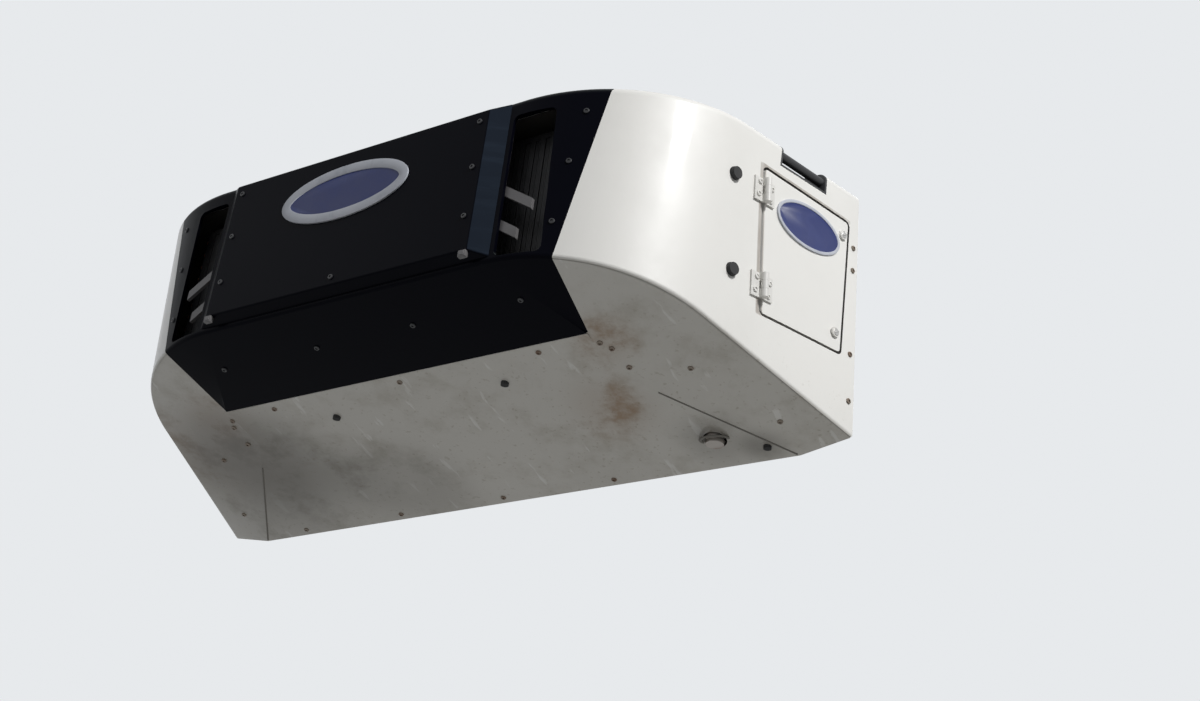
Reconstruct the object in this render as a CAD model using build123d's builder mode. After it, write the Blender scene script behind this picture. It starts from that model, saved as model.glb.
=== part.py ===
from build123d import *
from math import atan, cos, pi, radians, sin, sqrt, tan
import os

os.makedirs("parts", exist_ok=True)

# Truck refrigeration unit: a moulded housing outside the front wall, an evaporator through it.
# The origin is the centre of the four wall bolts on the wall face, +Y goes into the load space.
# All sizes are millimetres. Slopes are the rise per millimetre towards the wall.

# Housing skin
wall_half = 862.0           # half the width at the wall
housing_depth = 680.0       # wall face to the front skin
roof_height = 292.0         # roof at the wall
roof_slope = 0.108
roof_front_half = 727.0     # half width of the roof at the front before its corners are rounded
knee_height = -317.0        # fold of the side walls at the wall
knee_slope = -0.21
knee_front_half = 651.0
corner_radius = 375.0
floor_height = -340.0       # underside at the wall
floor_slope = -0.212
floor_wall_half = 745.0
floor_front_half = 490.0
chin_setback = 218.0        # front edge of the underside behind the front skin
floor_straight = 124.0      # straight stretch of the underside's edge behind its front corner
skin = 8.0
roof_round = 18.0
knee_round = 9.0
seam = 0.5                  # gap between panels that meet
seat = 0.3                  # gap between a piece and what carries it
running_gap = 6.0           # gap round a piece that moves

# Black front insert and raised centre panel
insert_top_half = 600.0
insert_knee_half = 520.0
insert_chin_half = 490.0
insert_lip = 54.0           # how far the insert turns over onto the roof
intake_gap = 10.0           # insert left between the panel's flank and an intake
intake_rim = 24.0           # insert left outside an intake
intake_top_margin = 42.0
intake_bottom_margin = 8.0
intake_corner = 14.0
panel_half = 350.0
panel_proud = 26.0
panel_flank = 37.0
panel_top_drop = 8.0
panel_bottom_rise = 10.0
panel_bevel = 20.0
panel_edge_round = 5.0
bar_width = 24.0
bar_thick = 8.0
bar_gap = 0.7               # behind the flat of the insert, which curves away outwards
bar_drop = 0.68             # fall of a guard bar per millimetre outwards
bars = [(4.0, 70.0), (-78.0, 42.0)]         # height at the post, reach past the intake's inner edge
post_wide = 14.0

# Side doors, grips and buffers
door_front = (-326.0, -285.0)               # front edge at the top and at the bottom
door_rear = (-30.0, -42.0)
door_top = 202.0            # door top, carried back to the wall
door_bottom = -140.0        # door bottom, carried back to the wall
door_slope = 0.076
door_corner = 14.0
jamb_wide = 16.0
jamb_deep = 14.0
hinge_out = 13.0
hinge_tall = 54.0
hinge_pin = 3.5
pin_play = 0.3
hinge_knuckle = 8.0
hinge_leaf = 30.0
leaf_thick = 4.0
leaf_seat = 0.5             # under a flat leaf on the slightly twisted wall
hinge_inset = 62.0
latch_radius = 11.0
latch_proud = 5.0
latch_inset = (26.0, 46.0)
notch_front = -276.0
notch_rear = -118.0
notch_deep = 56.0
notch_inward = 756.0
cup_wall = 5.0
grip_radius = 10.0
grip_below = 12.0
grip_clear = 38.0           # front end of the bar outside the notch's inner side
buffer_radius = 15.0
buffer_tall = 9.0
buffers = [(-404.0, 110.0), (-372.0, -101.0)]

# Mounting frame
plate = 12.0
bolt_x = 640.0
bolt_z = 180.0
bolt_hole = 7.0
port_half = 570.0           # port for the evaporator
port_half_height = 172.0
port_z = 62.0
port_corner = 30.0
gasket_wide = 34.0
gasket_deep = 5.0
rail_top = -148.0
rail_thick = 30.0
rail_wide = 46.0
inner_rail = 300.0
outer_rail = 470.0
cross_front = 596.0
cross_deep = 84.0

# Air path of the condensing section
coil_half = 520.0
coil_front = 614.0
coil_thick = 46.0
coil_top = 168.0
coil_fins = 40
fin_proud = 3.0
header_wide = 16.0
radiator_half = 330.0
radiator_thick = 34.0
radiator_top = 118.0
tank_wide = 44.0
fan_y = -322.0
fan_hole = 216.0
fan_radius = 206.0
fan_hub = 62.0
fan_blades = 7
blade_chord = 120.0
blade_thick = 4.0
blade_pitch = 28.0
fan_below = 46.0            # blade centre below the roof
shroud_wall = 10.0
shroud_deep = 96.0
motor_radius = 52.0
motor_long = 80.0
shaft_radius = 8.0
guard_bar = 5.0
guard_rise = 12.0
guard_step = 40.0
guard_spokes = 4

# Engine bay
engine_size = (470.0, 330.0, 250.0)
engine_left = -262.0
engine_rear = -60.0
engine_low = -214.0
foot_thick = 16.0
compressor_size = (190.0, 200.0, 120.0)
compressor_y = -200.0
cylinder_radius = 44.0
cylinder_tall = 62.0
alternator_radius = 62.0
alternator_long = 130.0
alternator_y = -372.0
cleaner_radius = 56.0
cleaner_tall = 230.0
cleaner_y = -499.0
battery_size = (200.0, 176.0, 190.0)
battery_y = -300.0
control_deep = 110.0
control_tall = 240.0
control_gap = 12.0
receiver_radius = 50.0
receiver_tall = 250.0
receiver_y = -490.0
muffler_radius = 50.0
muffler_x = (250.0, 500.0)
muffler_y = -92.0
muffler_z = 96.0
tail_radius = 20.0
tail_x = 590.0
tail_below = 12.0

# Underside
drains = [(-225.0, -377.0), (234.0, -375.0), (690.0, -44.0)]
drain_radius = 9.0
drain_proud = 6.0

# Evaporator section behind the wall
evaporator_deep = 360.0
evaporator_front = 24.0     # how far it reaches forward of the wall face
insulation = 25.0
return_y = (35.0, 140.0)
return_half = 480.0
grille_bar = 8.0
grille_bars = 21
cooler_y = (160.0, 222.0)
cooler_fins = 44
blower_x = 270.0
blower_hole = 138.0
blower_radius = 128.0
blower_hub = 44.0
blower_blades = 5
blower_chord = 86.0
blower_y = 306.0
blower_motor_radius = 40.0
blower_motor_long = 48.0
strap_wide = 34.0
strap_thick = 6.0


def level(height, slope):
    """Plane through the wall face at a height, sloping towards the wall."""
    return Plane(origin=(0, 0, height), x_dir=(1, 0, 0), z_dir=(0, -slope, 1))


def section(height, slope, points, radius=0):
    """Closed outline on a sloping plane; points are plan places of the right half."""
    stretch = sqrt(1 + slope**2)
    right = [(x, y * stretch) for x, y in points]
    left = [(-x, y) for x, y in reversed(right)]
    with BuildSketch(level(height, slope)) as outline:
        with BuildLine():
            Polyline(right + left, close=True)
        make_face()
        if radius:
            fillet(outline.vertices().group_by(Axis.Y)[0], radius)
    return outline.sketch


def hull(inset):
    """Everything inside the housing's skin, drawn in by an inset."""
    front = inset - housing_depth
    chin = inset + chin_setback - housing_depth
    roof = section(
        roof_height - inset * sqrt(1 + roof_slope**2),
        roof_slope,
        [(wall_half - inset, 0), (roof_front_half - inset, front)],
        corner_radius - inset,
    )
    knee = section(
        knee_height,
        knee_slope,
        [(wall_half - inset, 0), (knee_front_half - inset, front)],
        corner_radius - inset,
    )
    floor = section(
        floor_height + inset * sqrt(1 + floor_slope**2),
        floor_slope,
        [(floor_wall_half - inset, 0), (floor_front_half - inset, chin + floor_straight),
         (floor_front_half - inset, chin)],
    )
    with BuildPart() as body:
        loft([floor.face(), knee.face()], ruled=True)
        loft([knee.face(), roof.face()], ruled=True)
    return body.part


def prism(points, start, end, grow=0, radius=0, plane=Plane.YZ):
    """Outline extruded along its plane's normal from start to end, grown all round."""
    with BuildPart() as block:
        with BuildSketch(plane.offset(start)) as outline:
            with BuildLine():
                Polyline(points, close=True)
            make_face()
            if radius:
                fillet(outline.vertices(), radius)
            if grow:
                offset(amount=grow, kind=Kind.INTERSECTION)
        extrude(amount=end - start)
    return block.part


def roof_at(y):
    return roof_height + roof_slope * y


def knee_at(y):
    return knee_height + knee_slope * y


def floor_at(y):
    return floor_height + floor_slope * y


def straight_run(front_half, slope):
    """Plan length of a side edge from the wall to where its front corner starts to round."""
    stretch = sqrt(1 + slope**2)
    lean = atan((wall_half - front_half) / housing_depth / stretch)
    return housing_depth - corner_radius / tan(pi / 4 + lean / 2) * cos(lean) / stretch


knee_run = straight_run(knee_front_half, knee_slope)
roof_run = straight_run(roof_front_half, roof_slope)


def side_at(y, z):
    """Half width of the side wall, which is ruled from its knee to its roof edge."""
    share = 0.5
    for _ in range(8):
        reach = -y / (knee_run + (roof_run - knee_run) * share)
        knee_y, roof_y = -reach * knee_run, -reach * roof_run
        share = (z - knee_at(knee_y)) / (roof_at(roof_y) - knee_at(knee_y))
    knee_x = wall_half + (wall_half - knee_front_half) * knee_y / housing_depth
    roof_x = wall_half + (wall_half - roof_front_half) * roof_y / housing_depth
    return knee_x + (roof_x - knee_x) * share


far = 400.0                 # reach of the cutting prisms past the housing
front_y = -housing_depth
lip_y = front_y + insert_lip
chin_y = front_y + chin_setback


def front_zone(grow):
    """The part of the housing that the black insert takes."""
    right = [
        (insert_chin_half, floor_at(chin_y) - far),
        (insert_chin_half, floor_at(chin_y)),
        (insert_knee_half, knee_at(front_y)),
        (insert_top_half, roof_at(front_y)),
        (insert_top_half, roof_at(front_y) + far),
    ]
    left = [(-x, z) for x, z in reversed(right)]
    side = [
        (front_y - far, far),
        (lip_y, far),
        (lip_y, roof_at(lip_y) - 3 * skin),
        (chin_y - 60, roof_at(lip_y) - 10 * skin),
        (chin_y - 60, knee_at(front_y)),
        (chin_y, floor_at(chin_y) + skin),
        (chin_y, -far),
        (front_y - far, -far),
    ]
    with BuildPart() as zone:
        add(prism(right + left, -far, 3 * far, grow, plane=Plane.XZ))
        add(prism(side, -wall_half, wall_half, grow), mode=Mode.INTERSECT)
    return zone.part


roof_half = insert_top_half - 12


def roof_zone(grow):
    top = [
        (lip_y, roof_at(lip_y) - 1.5 * skin),
        (far, roof_at(far) - 1.5 * skin),
        (far, far + roof_at(far)),
        (lip_y, far),
    ]
    return prism(top, -roof_half - grow, roof_half + grow, grow)


def tray_zone(grow):
    below = [(-far - far, knee_at(-far - far)), (far, knee_at(far)), (far, -2 * far), (-far - far, -2 * far)]
    return prism(below, -wall_half - far, wall_half + far, grow)


def door_zone(grow):
    """Sloping four-sided opening in the right side wall."""
    edges = ((door_bottom, door_front[1]), (door_bottom, door_rear[1]), (door_top, door_rear[0]), (door_top, door_front[0]))
    corners = [(y, height + door_slope * y) for height, y in edges]
    return prism(corners, roof_front_half / 2, wall_half + far, grow, door_corner)


def notch_zone(grow, inward):
    """Grip notch in the edge between the right side wall and the roof."""
    mouth = [
        (notch_front, roof_at(notch_front) - notch_deep),
        (notch_rear, roof_at(notch_rear) - notch_deep),
        (notch_rear, far),
        (notch_front, far),
    ]
    return prism(mouth, inward - grow, wall_half + far, grow)


# Outer form with its folds rounded, and the skin before it is parted into panels
with BuildPart() as outer_form:
    add(hull(0))
    for height, slope, rounding in ((roof_height, roof_slope, roof_round), (knee_height, knee_slope, knee_round)):
        fold = level(height, slope)
        edges = [
            edge for edge in outer_form.edges()
            if all(abs(fold.to_local_coords(edge @ at).Z) < 0.01 for at in (0, 0.5, 1))
            and (edge @ 0.5).Y < -1
        ]
        fillet(edges, rounding)
with BuildPart() as skin_shell:
    add(outer_form.part)
    add(hull(skin), mode=Mode.SUBTRACT)
shell = skin_shell.part


def trimmed(solid, *zones):
    """The solid with each zone cut away."""
    with BuildPart() as rest:
        add(solid)
        for zone in zones:
            add(zone, mode=Mode.SUBTRACT)
    return rest.part


def common(solid, *zones):
    """What the solid shares with each zone."""
    with BuildPart() as shared:
        add(solid)
        for zone in zones:
            add(zone, mode=Mode.INTERSECT)
    return shared.part


def save(piece, name):
    piece.part.label = name
    export_step(piece.part, f"parts/{name}.step")


# Roof cover with its round fan opening
fan_plane = Plane(origin=(0, fan_y, roof_at(fan_y)), x_dir=(1, 0, 0), z_dir=(0, -roof_slope, 1))
with BuildPart() as roof_cover:
    add(common(shell, roof_zone(-seam)))
    add(front_zone(seam), mode=Mode.SUBTRACT)
    with BuildSketch(fan_plane.offset(-3 * skin)):
        Circle(fan_hole)
    extrude(amount=6 * skin, mode=Mode.SUBTRACT)
save(roof_cover, "roof_cover")

# Underside with the skirt that folds up to the knee
with BuildPart() as lower_tray:
    add(common(shell, tray_zone(-seam)))
    add(front_zone(seam), mode=Mode.SUBTRACT)
    with BuildSketch(Plane.XY.offset(floor_at(0) - skin)):
        with Locations((tail_x, muffler_y)):
            Circle(tail_radius + running_gap)
        with Locations(*drains):
            Circle(drain_radius)
    extrude(amount=wall_half / 10 + 4 * skin, mode=Mode.SUBTRACT)
save(lower_tray, "lower_tray")

# Side panels: front corner, side wall, edge of the roof, and the jamb behind the door
with BuildPart() as side_panel_right:
    add(trimmed(shell, roof_zone(seam), tray_zone(seam), front_zone(seam)))
    Box(wall_half, far + far, far + far, align=(Align.MAX, Align.MAX, Align.CENTER), mode=Mode.SUBTRACT)
    add(common(hull(skin), trimmed(door_zone(jamb_wide), hull(skin + jamb_deep))))
    add(door_zone(0), mode=Mode.SUBTRACT)
    add(notch_zone(0, notch_inward), mode=Mode.SUBTRACT)
save(side_panel_right, "side_panel_right")

with BuildPart() as side_panel_left:
    add(side_panel_right.part.mirror(Plane.YZ))
save(side_panel_left, "side_panel_left")

# Black front insert: a face with two air intakes, its chin and its lip over the roof's edge
intake_inner = panel_half + panel_flank + intake_gap
intake_outer = insert_knee_half - intake_rim
intake_low = knee_at(front_y) + intake_bottom_margin
intake_high = roof_at(front_y) - intake_top_margin
with BuildPart() as front_insert:
    add(common(shell, front_zone(-seam)))
    with BuildSketch(Plane.XZ.offset(-front_y - 5 * skin)) as intakes:
        with Locations(((intake_inner + intake_outer) / 2, (intake_low + intake_high) / 2)):
            RectangleRounded(intake_outer - intake_inner, intake_high - intake_low, intake_corner)
        mirror(about=Plane.YZ)
    extrude(amount=9 * skin, mode=Mode.SUBTRACT)
save(front_insert, "front_insert")

# Raised centre panel with bevelled flanks
panel_low = knee_at(front_y) + panel_bottom_rise
panel_high = roof_at(front_y) - panel_top_drop
with BuildPart() as centre_panel:
    for lift, half, low, high in (
        (seat, panel_half + panel_flank, panel_low, panel_high),
        (panel_proud, panel_half, panel_low + panel_bevel / 2, panel_high - panel_bevel),
    ):
        with BuildSketch(Plane.XZ.offset(housing_depth + lift)):
            with Locations((0, (low + high) / 2)):
                Rectangle(2 * half, high - low)
    loft(ruled=True)
    fillet(centre_panel.edges().filter_by(lambda e: (e @ 0.5).Y < front_y - seat - 1), panel_edge_round)
save(centre_panel, "centre_panel")

# Slanted guard bars in the intakes, on a post behind the insert
bar_back = front_y + skin + bar_gap
with BuildPart() as guard_bars_right:
    with BuildSketch(Plane.XZ.offset(-bar_back - bar_thick)):
        with Locations((intake_inner - post_wide, (intake_low + intake_high) / 2)):
            Rectangle(post_wide, intake_high - intake_low)
        for inner_z, reach in bars:
            outer_x, outer_z = intake_inner + reach, inner_z - bar_drop * (reach + post_wide)
            with BuildLine():
                Polyline(
                    (intake_inner - post_wide, inner_z - bar_width / 2),
                    (outer_x, outer_z - bar_width / 2),
                    (outer_x, outer_z + bar_width / 2),
                    (intake_inner - post_wide, inner_z + bar_width / 2),
                    close=True,
                )
            make_face()
    extrude(amount=bar_thick)
save(guard_bars_right, "guard_bars_right")

with BuildPart() as guard_bars_left:
    add(guard_bars_right.part.mirror(Plane.YZ))
save(guard_bars_left, "guard_bars_left")

# Doors, hung on outside hinges along their front edge
def side_frame(y, z, out=0):
    """Plane on the right side wall: its x runs rearwards along the wall, its z outwards."""
    along = Vector(side_at(y + 1, z) - side_at(y, z), 1, 0)
    up = Vector(side_at(y, z + 1) - side_at(y, z), 0, 1)
    outward = along.cross(up).normalized()
    return Plane(origin=Vector(side_at(y, z), y, z) + outward * out, x_dir=along, z_dir=outward)


def span(x, y, z, mode=Mode.ADD):
    """A box between pairs of limits."""
    with Locations(((x[0] + x[1]) / 2, (y[0] + y[1]) / 2, (z[0] + z[1]) / 2)):
        Box(x[1] - x[0], y[1] - y[0], z[1] - z[0], mode=mode)


edge_top = Vector(0, door_front[0] + running_gap / 2, door_top + door_slope * door_front[0])
edge_foot = Vector(0, door_front[1] + running_gap / 2, door_bottom + door_slope * door_front[1])
edge_run = (edge_top - edge_foot).normalized()
hinge_marks = [edge_foot + edge_run * hinge_inset, edge_top - edge_run * hinge_inset]
hinge_ends = [side_frame(mark.Y, mark.Z, hinge_out).origin for mark in hinge_marks]
hinge_axis = (hinge_ends[1] - hinge_ends[0]).normalized()
third = hinge_tall / 3


def hinge_half(side, knuckles, bore):
    """Leaves on one side of both hinges, with their knuckles: (start, end) along the axis."""
    leaf_x = leaf_seat - hinge_out + leaf_thick / 2
    with BuildPart() as half:
        for mark, end in zip(hinge_marks, hinge_ends):
            along = Vector(side_at(mark.Y + 1, mark.Z) - side_at(mark.Y, mark.Z), 1, 0)
            across = Plane(origin=end, x_dir=along.cross(hinge_axis), z_dir=hinge_axis)
            with BuildSketch(across.offset(-hinge_tall / 2)):
                with Locations((leaf_x, side * (hinge_leaf / 2 + 1))):
                    Rectangle(leaf_thick, hinge_leaf)
            extrude(amount=hinge_tall)
            for low, high in knuckles:
                with BuildSketch(across.offset(low)):
                    Circle(hinge_knuckle)
                    with Locations((leaf_x / 2, side * (hinge_knuckle / 2 + 1))):
                        Rectangle(-leaf_x, hinge_knuckle - 2)
                    if bore:
                        Circle(bore, mode=Mode.SUBTRACT)
                extrude(amount=high - low)
            if not bore:
                with BuildSketch(across.offset(-hinge_tall / 2)):
                    Circle(hinge_pin)
                extrude(amount=hinge_tall)
    return half.part


with BuildPart() as door_right:
    add(common(shell, door_zone(-running_gap)))
save(door_right, "door_right")

with BuildPart() as door_fittings_right:
    add(hinge_half(1, [(-third / 2, third / 2)], hinge_pin + pin_play))
    for edge, rear, way in ((door_bottom, door_rear[1], 1), (door_top, door_rear[0], -1)):
        latch_y = rear - latch_inset[0]
        latch_z = edge + door_slope * latch_y + way * latch_inset[1]
        with BuildSketch(side_frame(latch_y, latch_z, seat)):
            Circle(latch_radius)
        extrude(amount=latch_proud)
save(door_fittings_right, "door_fittings_right")

with BuildPart() as hinge_brackets_right:
    add(hinge_half(-1, [(-hinge_tall / 2, -third / 2 - pin_play), (third / 2 + pin_play, hinge_tall / 2)], 0))
save(hinge_brackets_right, "hinge_brackets_right")

# Rubber buffers that the doors fold back to
with BuildPart() as door_buffers:
    for y, z in buffers:
        with BuildSketch(side_frame(y, z, seat)):
            Circle(buffer_radius)
        extrude(amount=buffer_tall, taper=12)
    mirror(about=Plane.YZ)
save(door_buffers, "door_buffers")

# Black grip cup in the notch, with a bar across it
grip_x = notch_inward + grip_clear
with BuildPart() as grip_right:
    add(common(outer_form.part, notch_zone(-seat, notch_inward)))
    add(notch_zone(-seat - cup_wall, notch_inward), mode=Mode.SUBTRACT)
    grip_end = Vector(grip_x, notch_front + cup_wall / 2, roof_at(notch_front) - grip_below - grip_radius)
    edge_lean = (wall_half - roof_front_half) / housing_depth
    grip_run = Vector(edge_lean, 1, roof_slope) * (notch_rear - notch_front - cup_wall)
    with BuildSketch(Plane(origin=grip_end, x_dir=(1, 0, 0), z_dir=grip_run)):
        Circle(grip_radius)
    extrude(amount=grip_run.length)
save(grip_right, "grip_right")

for piece, name in (
    (door_right, "door_left"),
    (door_fittings_right, "door_fittings_left"),
    (hinge_brackets_right, "hinge_brackets_left"),
    (grip_right, "grip_left"),
):
    with BuildPart() as mirrored:
        add(piece.part.mirror(Plane.YZ))
    save(mirrored, name)

# Steel frame: wall plate inside the housing, port for the evaporator, rails for the machinery
rail_low = rail_top - rail_thick
with BuildPart() as mounting_frame:
    add(hull(skin + seat))
    Box(4 * wall_half, 2 * plate, 4 * wall_half, mode=Mode.INTERSECT)
    for grow, deep in ((0, plate), (gasket_wide, gasket_deep)):
        with BuildSketch(Plane.XZ):
            with Locations((0, port_z)):
                RectangleRounded(2 * (port_half + grow), 2 * (port_half_height + grow), port_corner + grow)
        extrude(amount=deep, mode=Mode.SUBTRACT)
    with BuildSketch(Plane.XZ):
        with GridLocations(2 * bolt_x, 2 * bolt_z, 2, 2):
            Circle(bolt_hole)
    extrude(amount=plate, mode=Mode.SUBTRACT)
    for x in (-outer_rail, -inner_rail, inner_rail, outer_rail):
        span((x - rail_wide / 2, x + rail_wide / 2), (-cross_front, -plate / 2), (rail_low, rail_top))
    cross_half = outer_rail + rail_wide / 2
    span((-cross_half, cross_half), (-cross_front, cross_deep - cross_front), (rail_low, rail_top))
save(mounting_frame, "mounting_frame")

with BuildPart() as wall_gasket:
    with BuildSketch(Plane.XZ):
        with Locations((0, port_z)):
            for grow, mode in ((gasket_wide - seat, Mode.ADD), (0, Mode.SUBTRACT)):
                RectangleRounded(
                    2 * (port_half + grow), 2 * (port_half_height + grow), port_corner + grow, mode=mode
                )
    extrude(amount=gasket_deep - seat)
save(wall_gasket, "wall_gasket")


def finned(x, y, z, fins, proud, rear):
    """Coil block between limits, with grooves between its fins on one face."""
    pitch = (x[1] - x[0]) / fins
    groove = (y[1] - proud, y[1]) if rear else (y[0], y[0] + proud)
    with BuildPart() as coil:
        span(x, y, z)
        for i in range(fins):
            middle = x[0] + (i + 0.5) * pitch
            span((middle - pitch / 4, middle + pitch / 4), groove, (z[0] + pitch / 2, z[1] - pitch / 2), Mode.SUBTRACT)
    return coil.part


# Condenser coil with a header at each end, and the radiator behind it
coil_y = (-coil_front, coil_thick - coil_front)
coil_z = (rail_top + seat, coil_top)
with BuildPart() as condenser_coil:
    add(finned((header_wide - coil_half, coil_half - header_wide), coil_y, coil_z, coil_fins, fin_proud, False))
    for side in (-1, 1):
        with Locations((side * (coil_half - header_wide / 2), sum(coil_y) / 2, sum(coil_z) / 2)):
            Box(header_wide, coil_thick - 2 * fin_proud, coil_z[1] - coil_z[0])
save(condenser_coil, "condenser_coil")

radiator_y = (coil_y[1] + running_gap, coil_y[1] + running_gap + radiator_thick)
with BuildPart() as radiator:
    core = radiator_half - tank_wide
    add(finned((-core, core), radiator_y, (rail_top + seat, radiator_top), coil_fins // 2, fin_proud, True))
    for side in (-1, 1):
        tank = sorted((side * core, side * radiator_half))
        span(tank, radiator_y, (rail_top + seat, radiator_top))
save(radiator, "radiator")


def rotor(plane, hub, hub_deep, tip, blades, chord, pitch, shaft_long):
    """Axial fan centred on a plane; its shaft runs out against the plane's normal."""
    with BuildPart() as blade:
        for reach in (hub - blade_thick, sqrt(tip**2 - chord**2 / 4)):
            with BuildSketch(Plane.YZ.offset(reach)):
                Rectangle(chord * (0.7 if reach < hub else 1), blade_thick, rotation=pitch)
        loft()
    with BuildPart() as wheel:
        with BuildSketch(plane.offset(-hub_deep / 2)):
            Circle(hub)
        extrude(amount=hub_deep)
        with BuildSketch(plane.offset(-hub_deep / 2 - shaft_long)):
            Circle(shaft_radius)
        extrude(amount=shaft_long)
        with Locations(plane):
            with PolarLocations(0, blades):
                add(blade.part)
    return wheel.part


def wire_guard(plane, outer, rise, step, spokes):
    """Flat wire guard on a base ring, standing on a plane."""
    with BuildPart() as guard:
        with BuildSketch(plane):
            Circle(outer)
            Circle(outer - 2 * guard_bar, mode=Mode.SUBTRACT)
        extrude(amount=rise + guard_bar)
        with BuildSketch(plane.offset(rise)):
            for i in range(1, int(outer / step)):
                Circle(outer - i * step + guard_bar)
                Circle(outer - i * step, mode=Mode.SUBTRACT)
            with PolarLocations(0, spokes):
                with Locations((outer / 2, 0)):
                    Rectangle(outer - guard_bar, guard_bar)
            Circle(2 * guard_bar)
        extrude(amount=guard_bar)
    return guard.part


# Condenser fan under the roof, blowing up through its opening
shroud_foot = -shroud_deep
with BuildPart() as fan_shroud:
    with BuildSketch(fan_plane.offset(shroud_foot)):
        Circle(fan_hole + shroud_wall)
        Circle(fan_hole, mode=Mode.SUBTRACT)
    extrude(amount=shroud_deep - skin - seat)
    with BuildSketch(fan_plane.offset(shroud_foot)):
        with PolarLocations(0, 4, start_angle=45):
            with Locations((fan_hole / 2, 0)):
                Rectangle(fan_hole + shroud_wall, strap_wide)
        Circle(motor_radius)
        Circle(shaft_radius + running_gap, mode=Mode.SUBTRACT)
    extrude(amount=strap_thick)
save(fan_shroud, "fan_shroud")

with BuildPart() as fan_motor:
    with BuildSketch(fan_plane.offset(shroud_foot - seat - motor_long)):
        Circle(motor_radius)
    extrude(amount=motor_long)
    with BuildSketch(fan_plane.offset(shroud_foot - seat - motor_long / 2)):
        Circle(shaft_radius + seat)
    extrude(amount=motor_long / 2, mode=Mode.SUBTRACT)
save(fan_motor, "fan_motor")

with BuildPart() as condenser_fan:
    fan_middle = fan_plane.offset(-fan_below)
    hub_deep = blade_chord * sin(radians(blade_pitch)) * 0.8
    fan_shaft = shroud_deep + motor_long / 2 - fan_below - hub_deep / 2 - shaft_radius
    add(rotor(fan_middle, fan_hub, hub_deep, fan_radius, fan_blades, blade_chord, blade_pitch, fan_shaft))
save(condenser_fan, "condenser_fan")

with BuildPart() as fan_guard:
    add(wire_guard(fan_plane.offset(seat), fan_hole + 4 * guard_bar, guard_rise, guard_step, guard_spokes))
save(fan_guard, "fan_guard")

# Engine, one plain block on two cross feet
engine_x = (engine_left, engine_left + engine_size[0])
engine_y = (engine_rear - engine_size[1], engine_rear)
engine_z = (engine_low, engine_low + engine_size[2])
foot_z = (rail_top + seat, rail_top + seat + foot_thick)
with BuildPart() as engine_block:
    span(engine_x, engine_y, engine_z)
    for share in (0.2, 0.8):
        foot_y = engine_y[0] + share * engine_size[1]
        foot_half = inner_rail + rail_wide / 2
        span((-foot_half, foot_half), (foot_y - rail_wide / 2, foot_y + rail_wide / 2), foot_z)
save(engine_block, "engine_block")

# Compressor: crankcase and two cylinders
with BuildPart() as compressor:
    case_top = rail_top + seat + compressor_size[2]
    compressor_x = -inner_rail - rail_wide / 2 - running_gap - compressor_size[0] / 2
    with Locations((compressor_x, compressor_y, (rail_top + seat + case_top) / 2)):
        Box(*compressor_size)
    fillet(compressor.edges().filter_by(Axis.Y), compressor_size[2] / 6)
    with BuildSketch(Plane.XY.offset(case_top - cylinder_radius / 2)):
        with Locations((compressor_x, compressor_y)):
            with GridLocations(0, compressor_size[1] / 2, 1, 2):
                Circle(cylinder_radius)
    extrude(amount=cylinder_tall + cylinder_radius / 2)
save(compressor, "compressor")

with BuildPart() as alternator:
    alternator_z = rail_top + seat + alternator_radius + foot_thick
    alternator_x = -outer_rail - rail_wide / 2 + alternator_long
    with BuildSketch(Plane(origin=(alternator_x, alternator_y, alternator_z), x_dir=(0, 1, 0), z_dir=(-1, 0, 0))):
        Circle(alternator_radius)
    extrude(amount=alternator_long)
    foot_x = (-outer_rail - rail_wide / 2, -outer_rail + rail_wide / 2)
    span(foot_x, (alternator_y - rail_wide, alternator_y + rail_wide), (rail_top + seat, alternator_z))
save(alternator, "alternator")

with BuildPart() as air_cleaner:
    with BuildSketch(Plane.XY.offset(rail_top + seat)):
        with Locations((-outer_rail, cleaner_y)):
            Circle(cleaner_radius)
    extrude(amount=cleaner_tall)
    chamfer(air_cleaner.edges().filter_by(GeomType.CIRCLE), cleaner_radius / 6)
save(air_cleaner, "air_cleaner")

# Battery, receiver and control box on the right
with BuildPart() as battery:
    battery_x = inner_rail + rail_wide / 2 + running_gap + battery_size[0] / 2
    with Locations((battery_x, battery_y, rail_top + seat + battery_size[2] / 2)):
        Box(*battery_size)
    battery_top = battery.faces().sort_by(Axis.Z)[-1]
    with BuildSketch(battery_top):
        with GridLocations(battery_size[0] * 0.7, 0, 2, 1):
            Circle(battery_size[0] / 20)
    extrude(amount=battery_size[2] / 12)
save(battery, "battery")

with BuildPart() as receiver_tank:
    with BuildSketch(Plane.XY.offset(rail_top + seat)):
        with Locations((outer_rail, receiver_y)):
            Circle(receiver_radius)
    extrude(amount=receiver_tall)
    fillet(receiver_tank.edges().filter_by(GeomType.CIRCLE).sort_by(Axis.Z)[-1], receiver_radius / 3)
save(receiver_tank, "receiver_tank")

with BuildPart() as control_box:
    control_y = (-plate - seat - control_deep, -plate - seat)
    control_x = (
        max(port_half, tail_x + tail_radius) + running_gap,
        side_at(control_y[0], -control_tall / 2) - skin - jamb_deep - control_gap,
    )
    span(control_x, control_y, (-control_tall / 2, control_tall / 2))
    fillet(control_box.edges().filter_by(Axis.Z), control_deep / 12)
save(control_box, "control_box")

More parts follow.
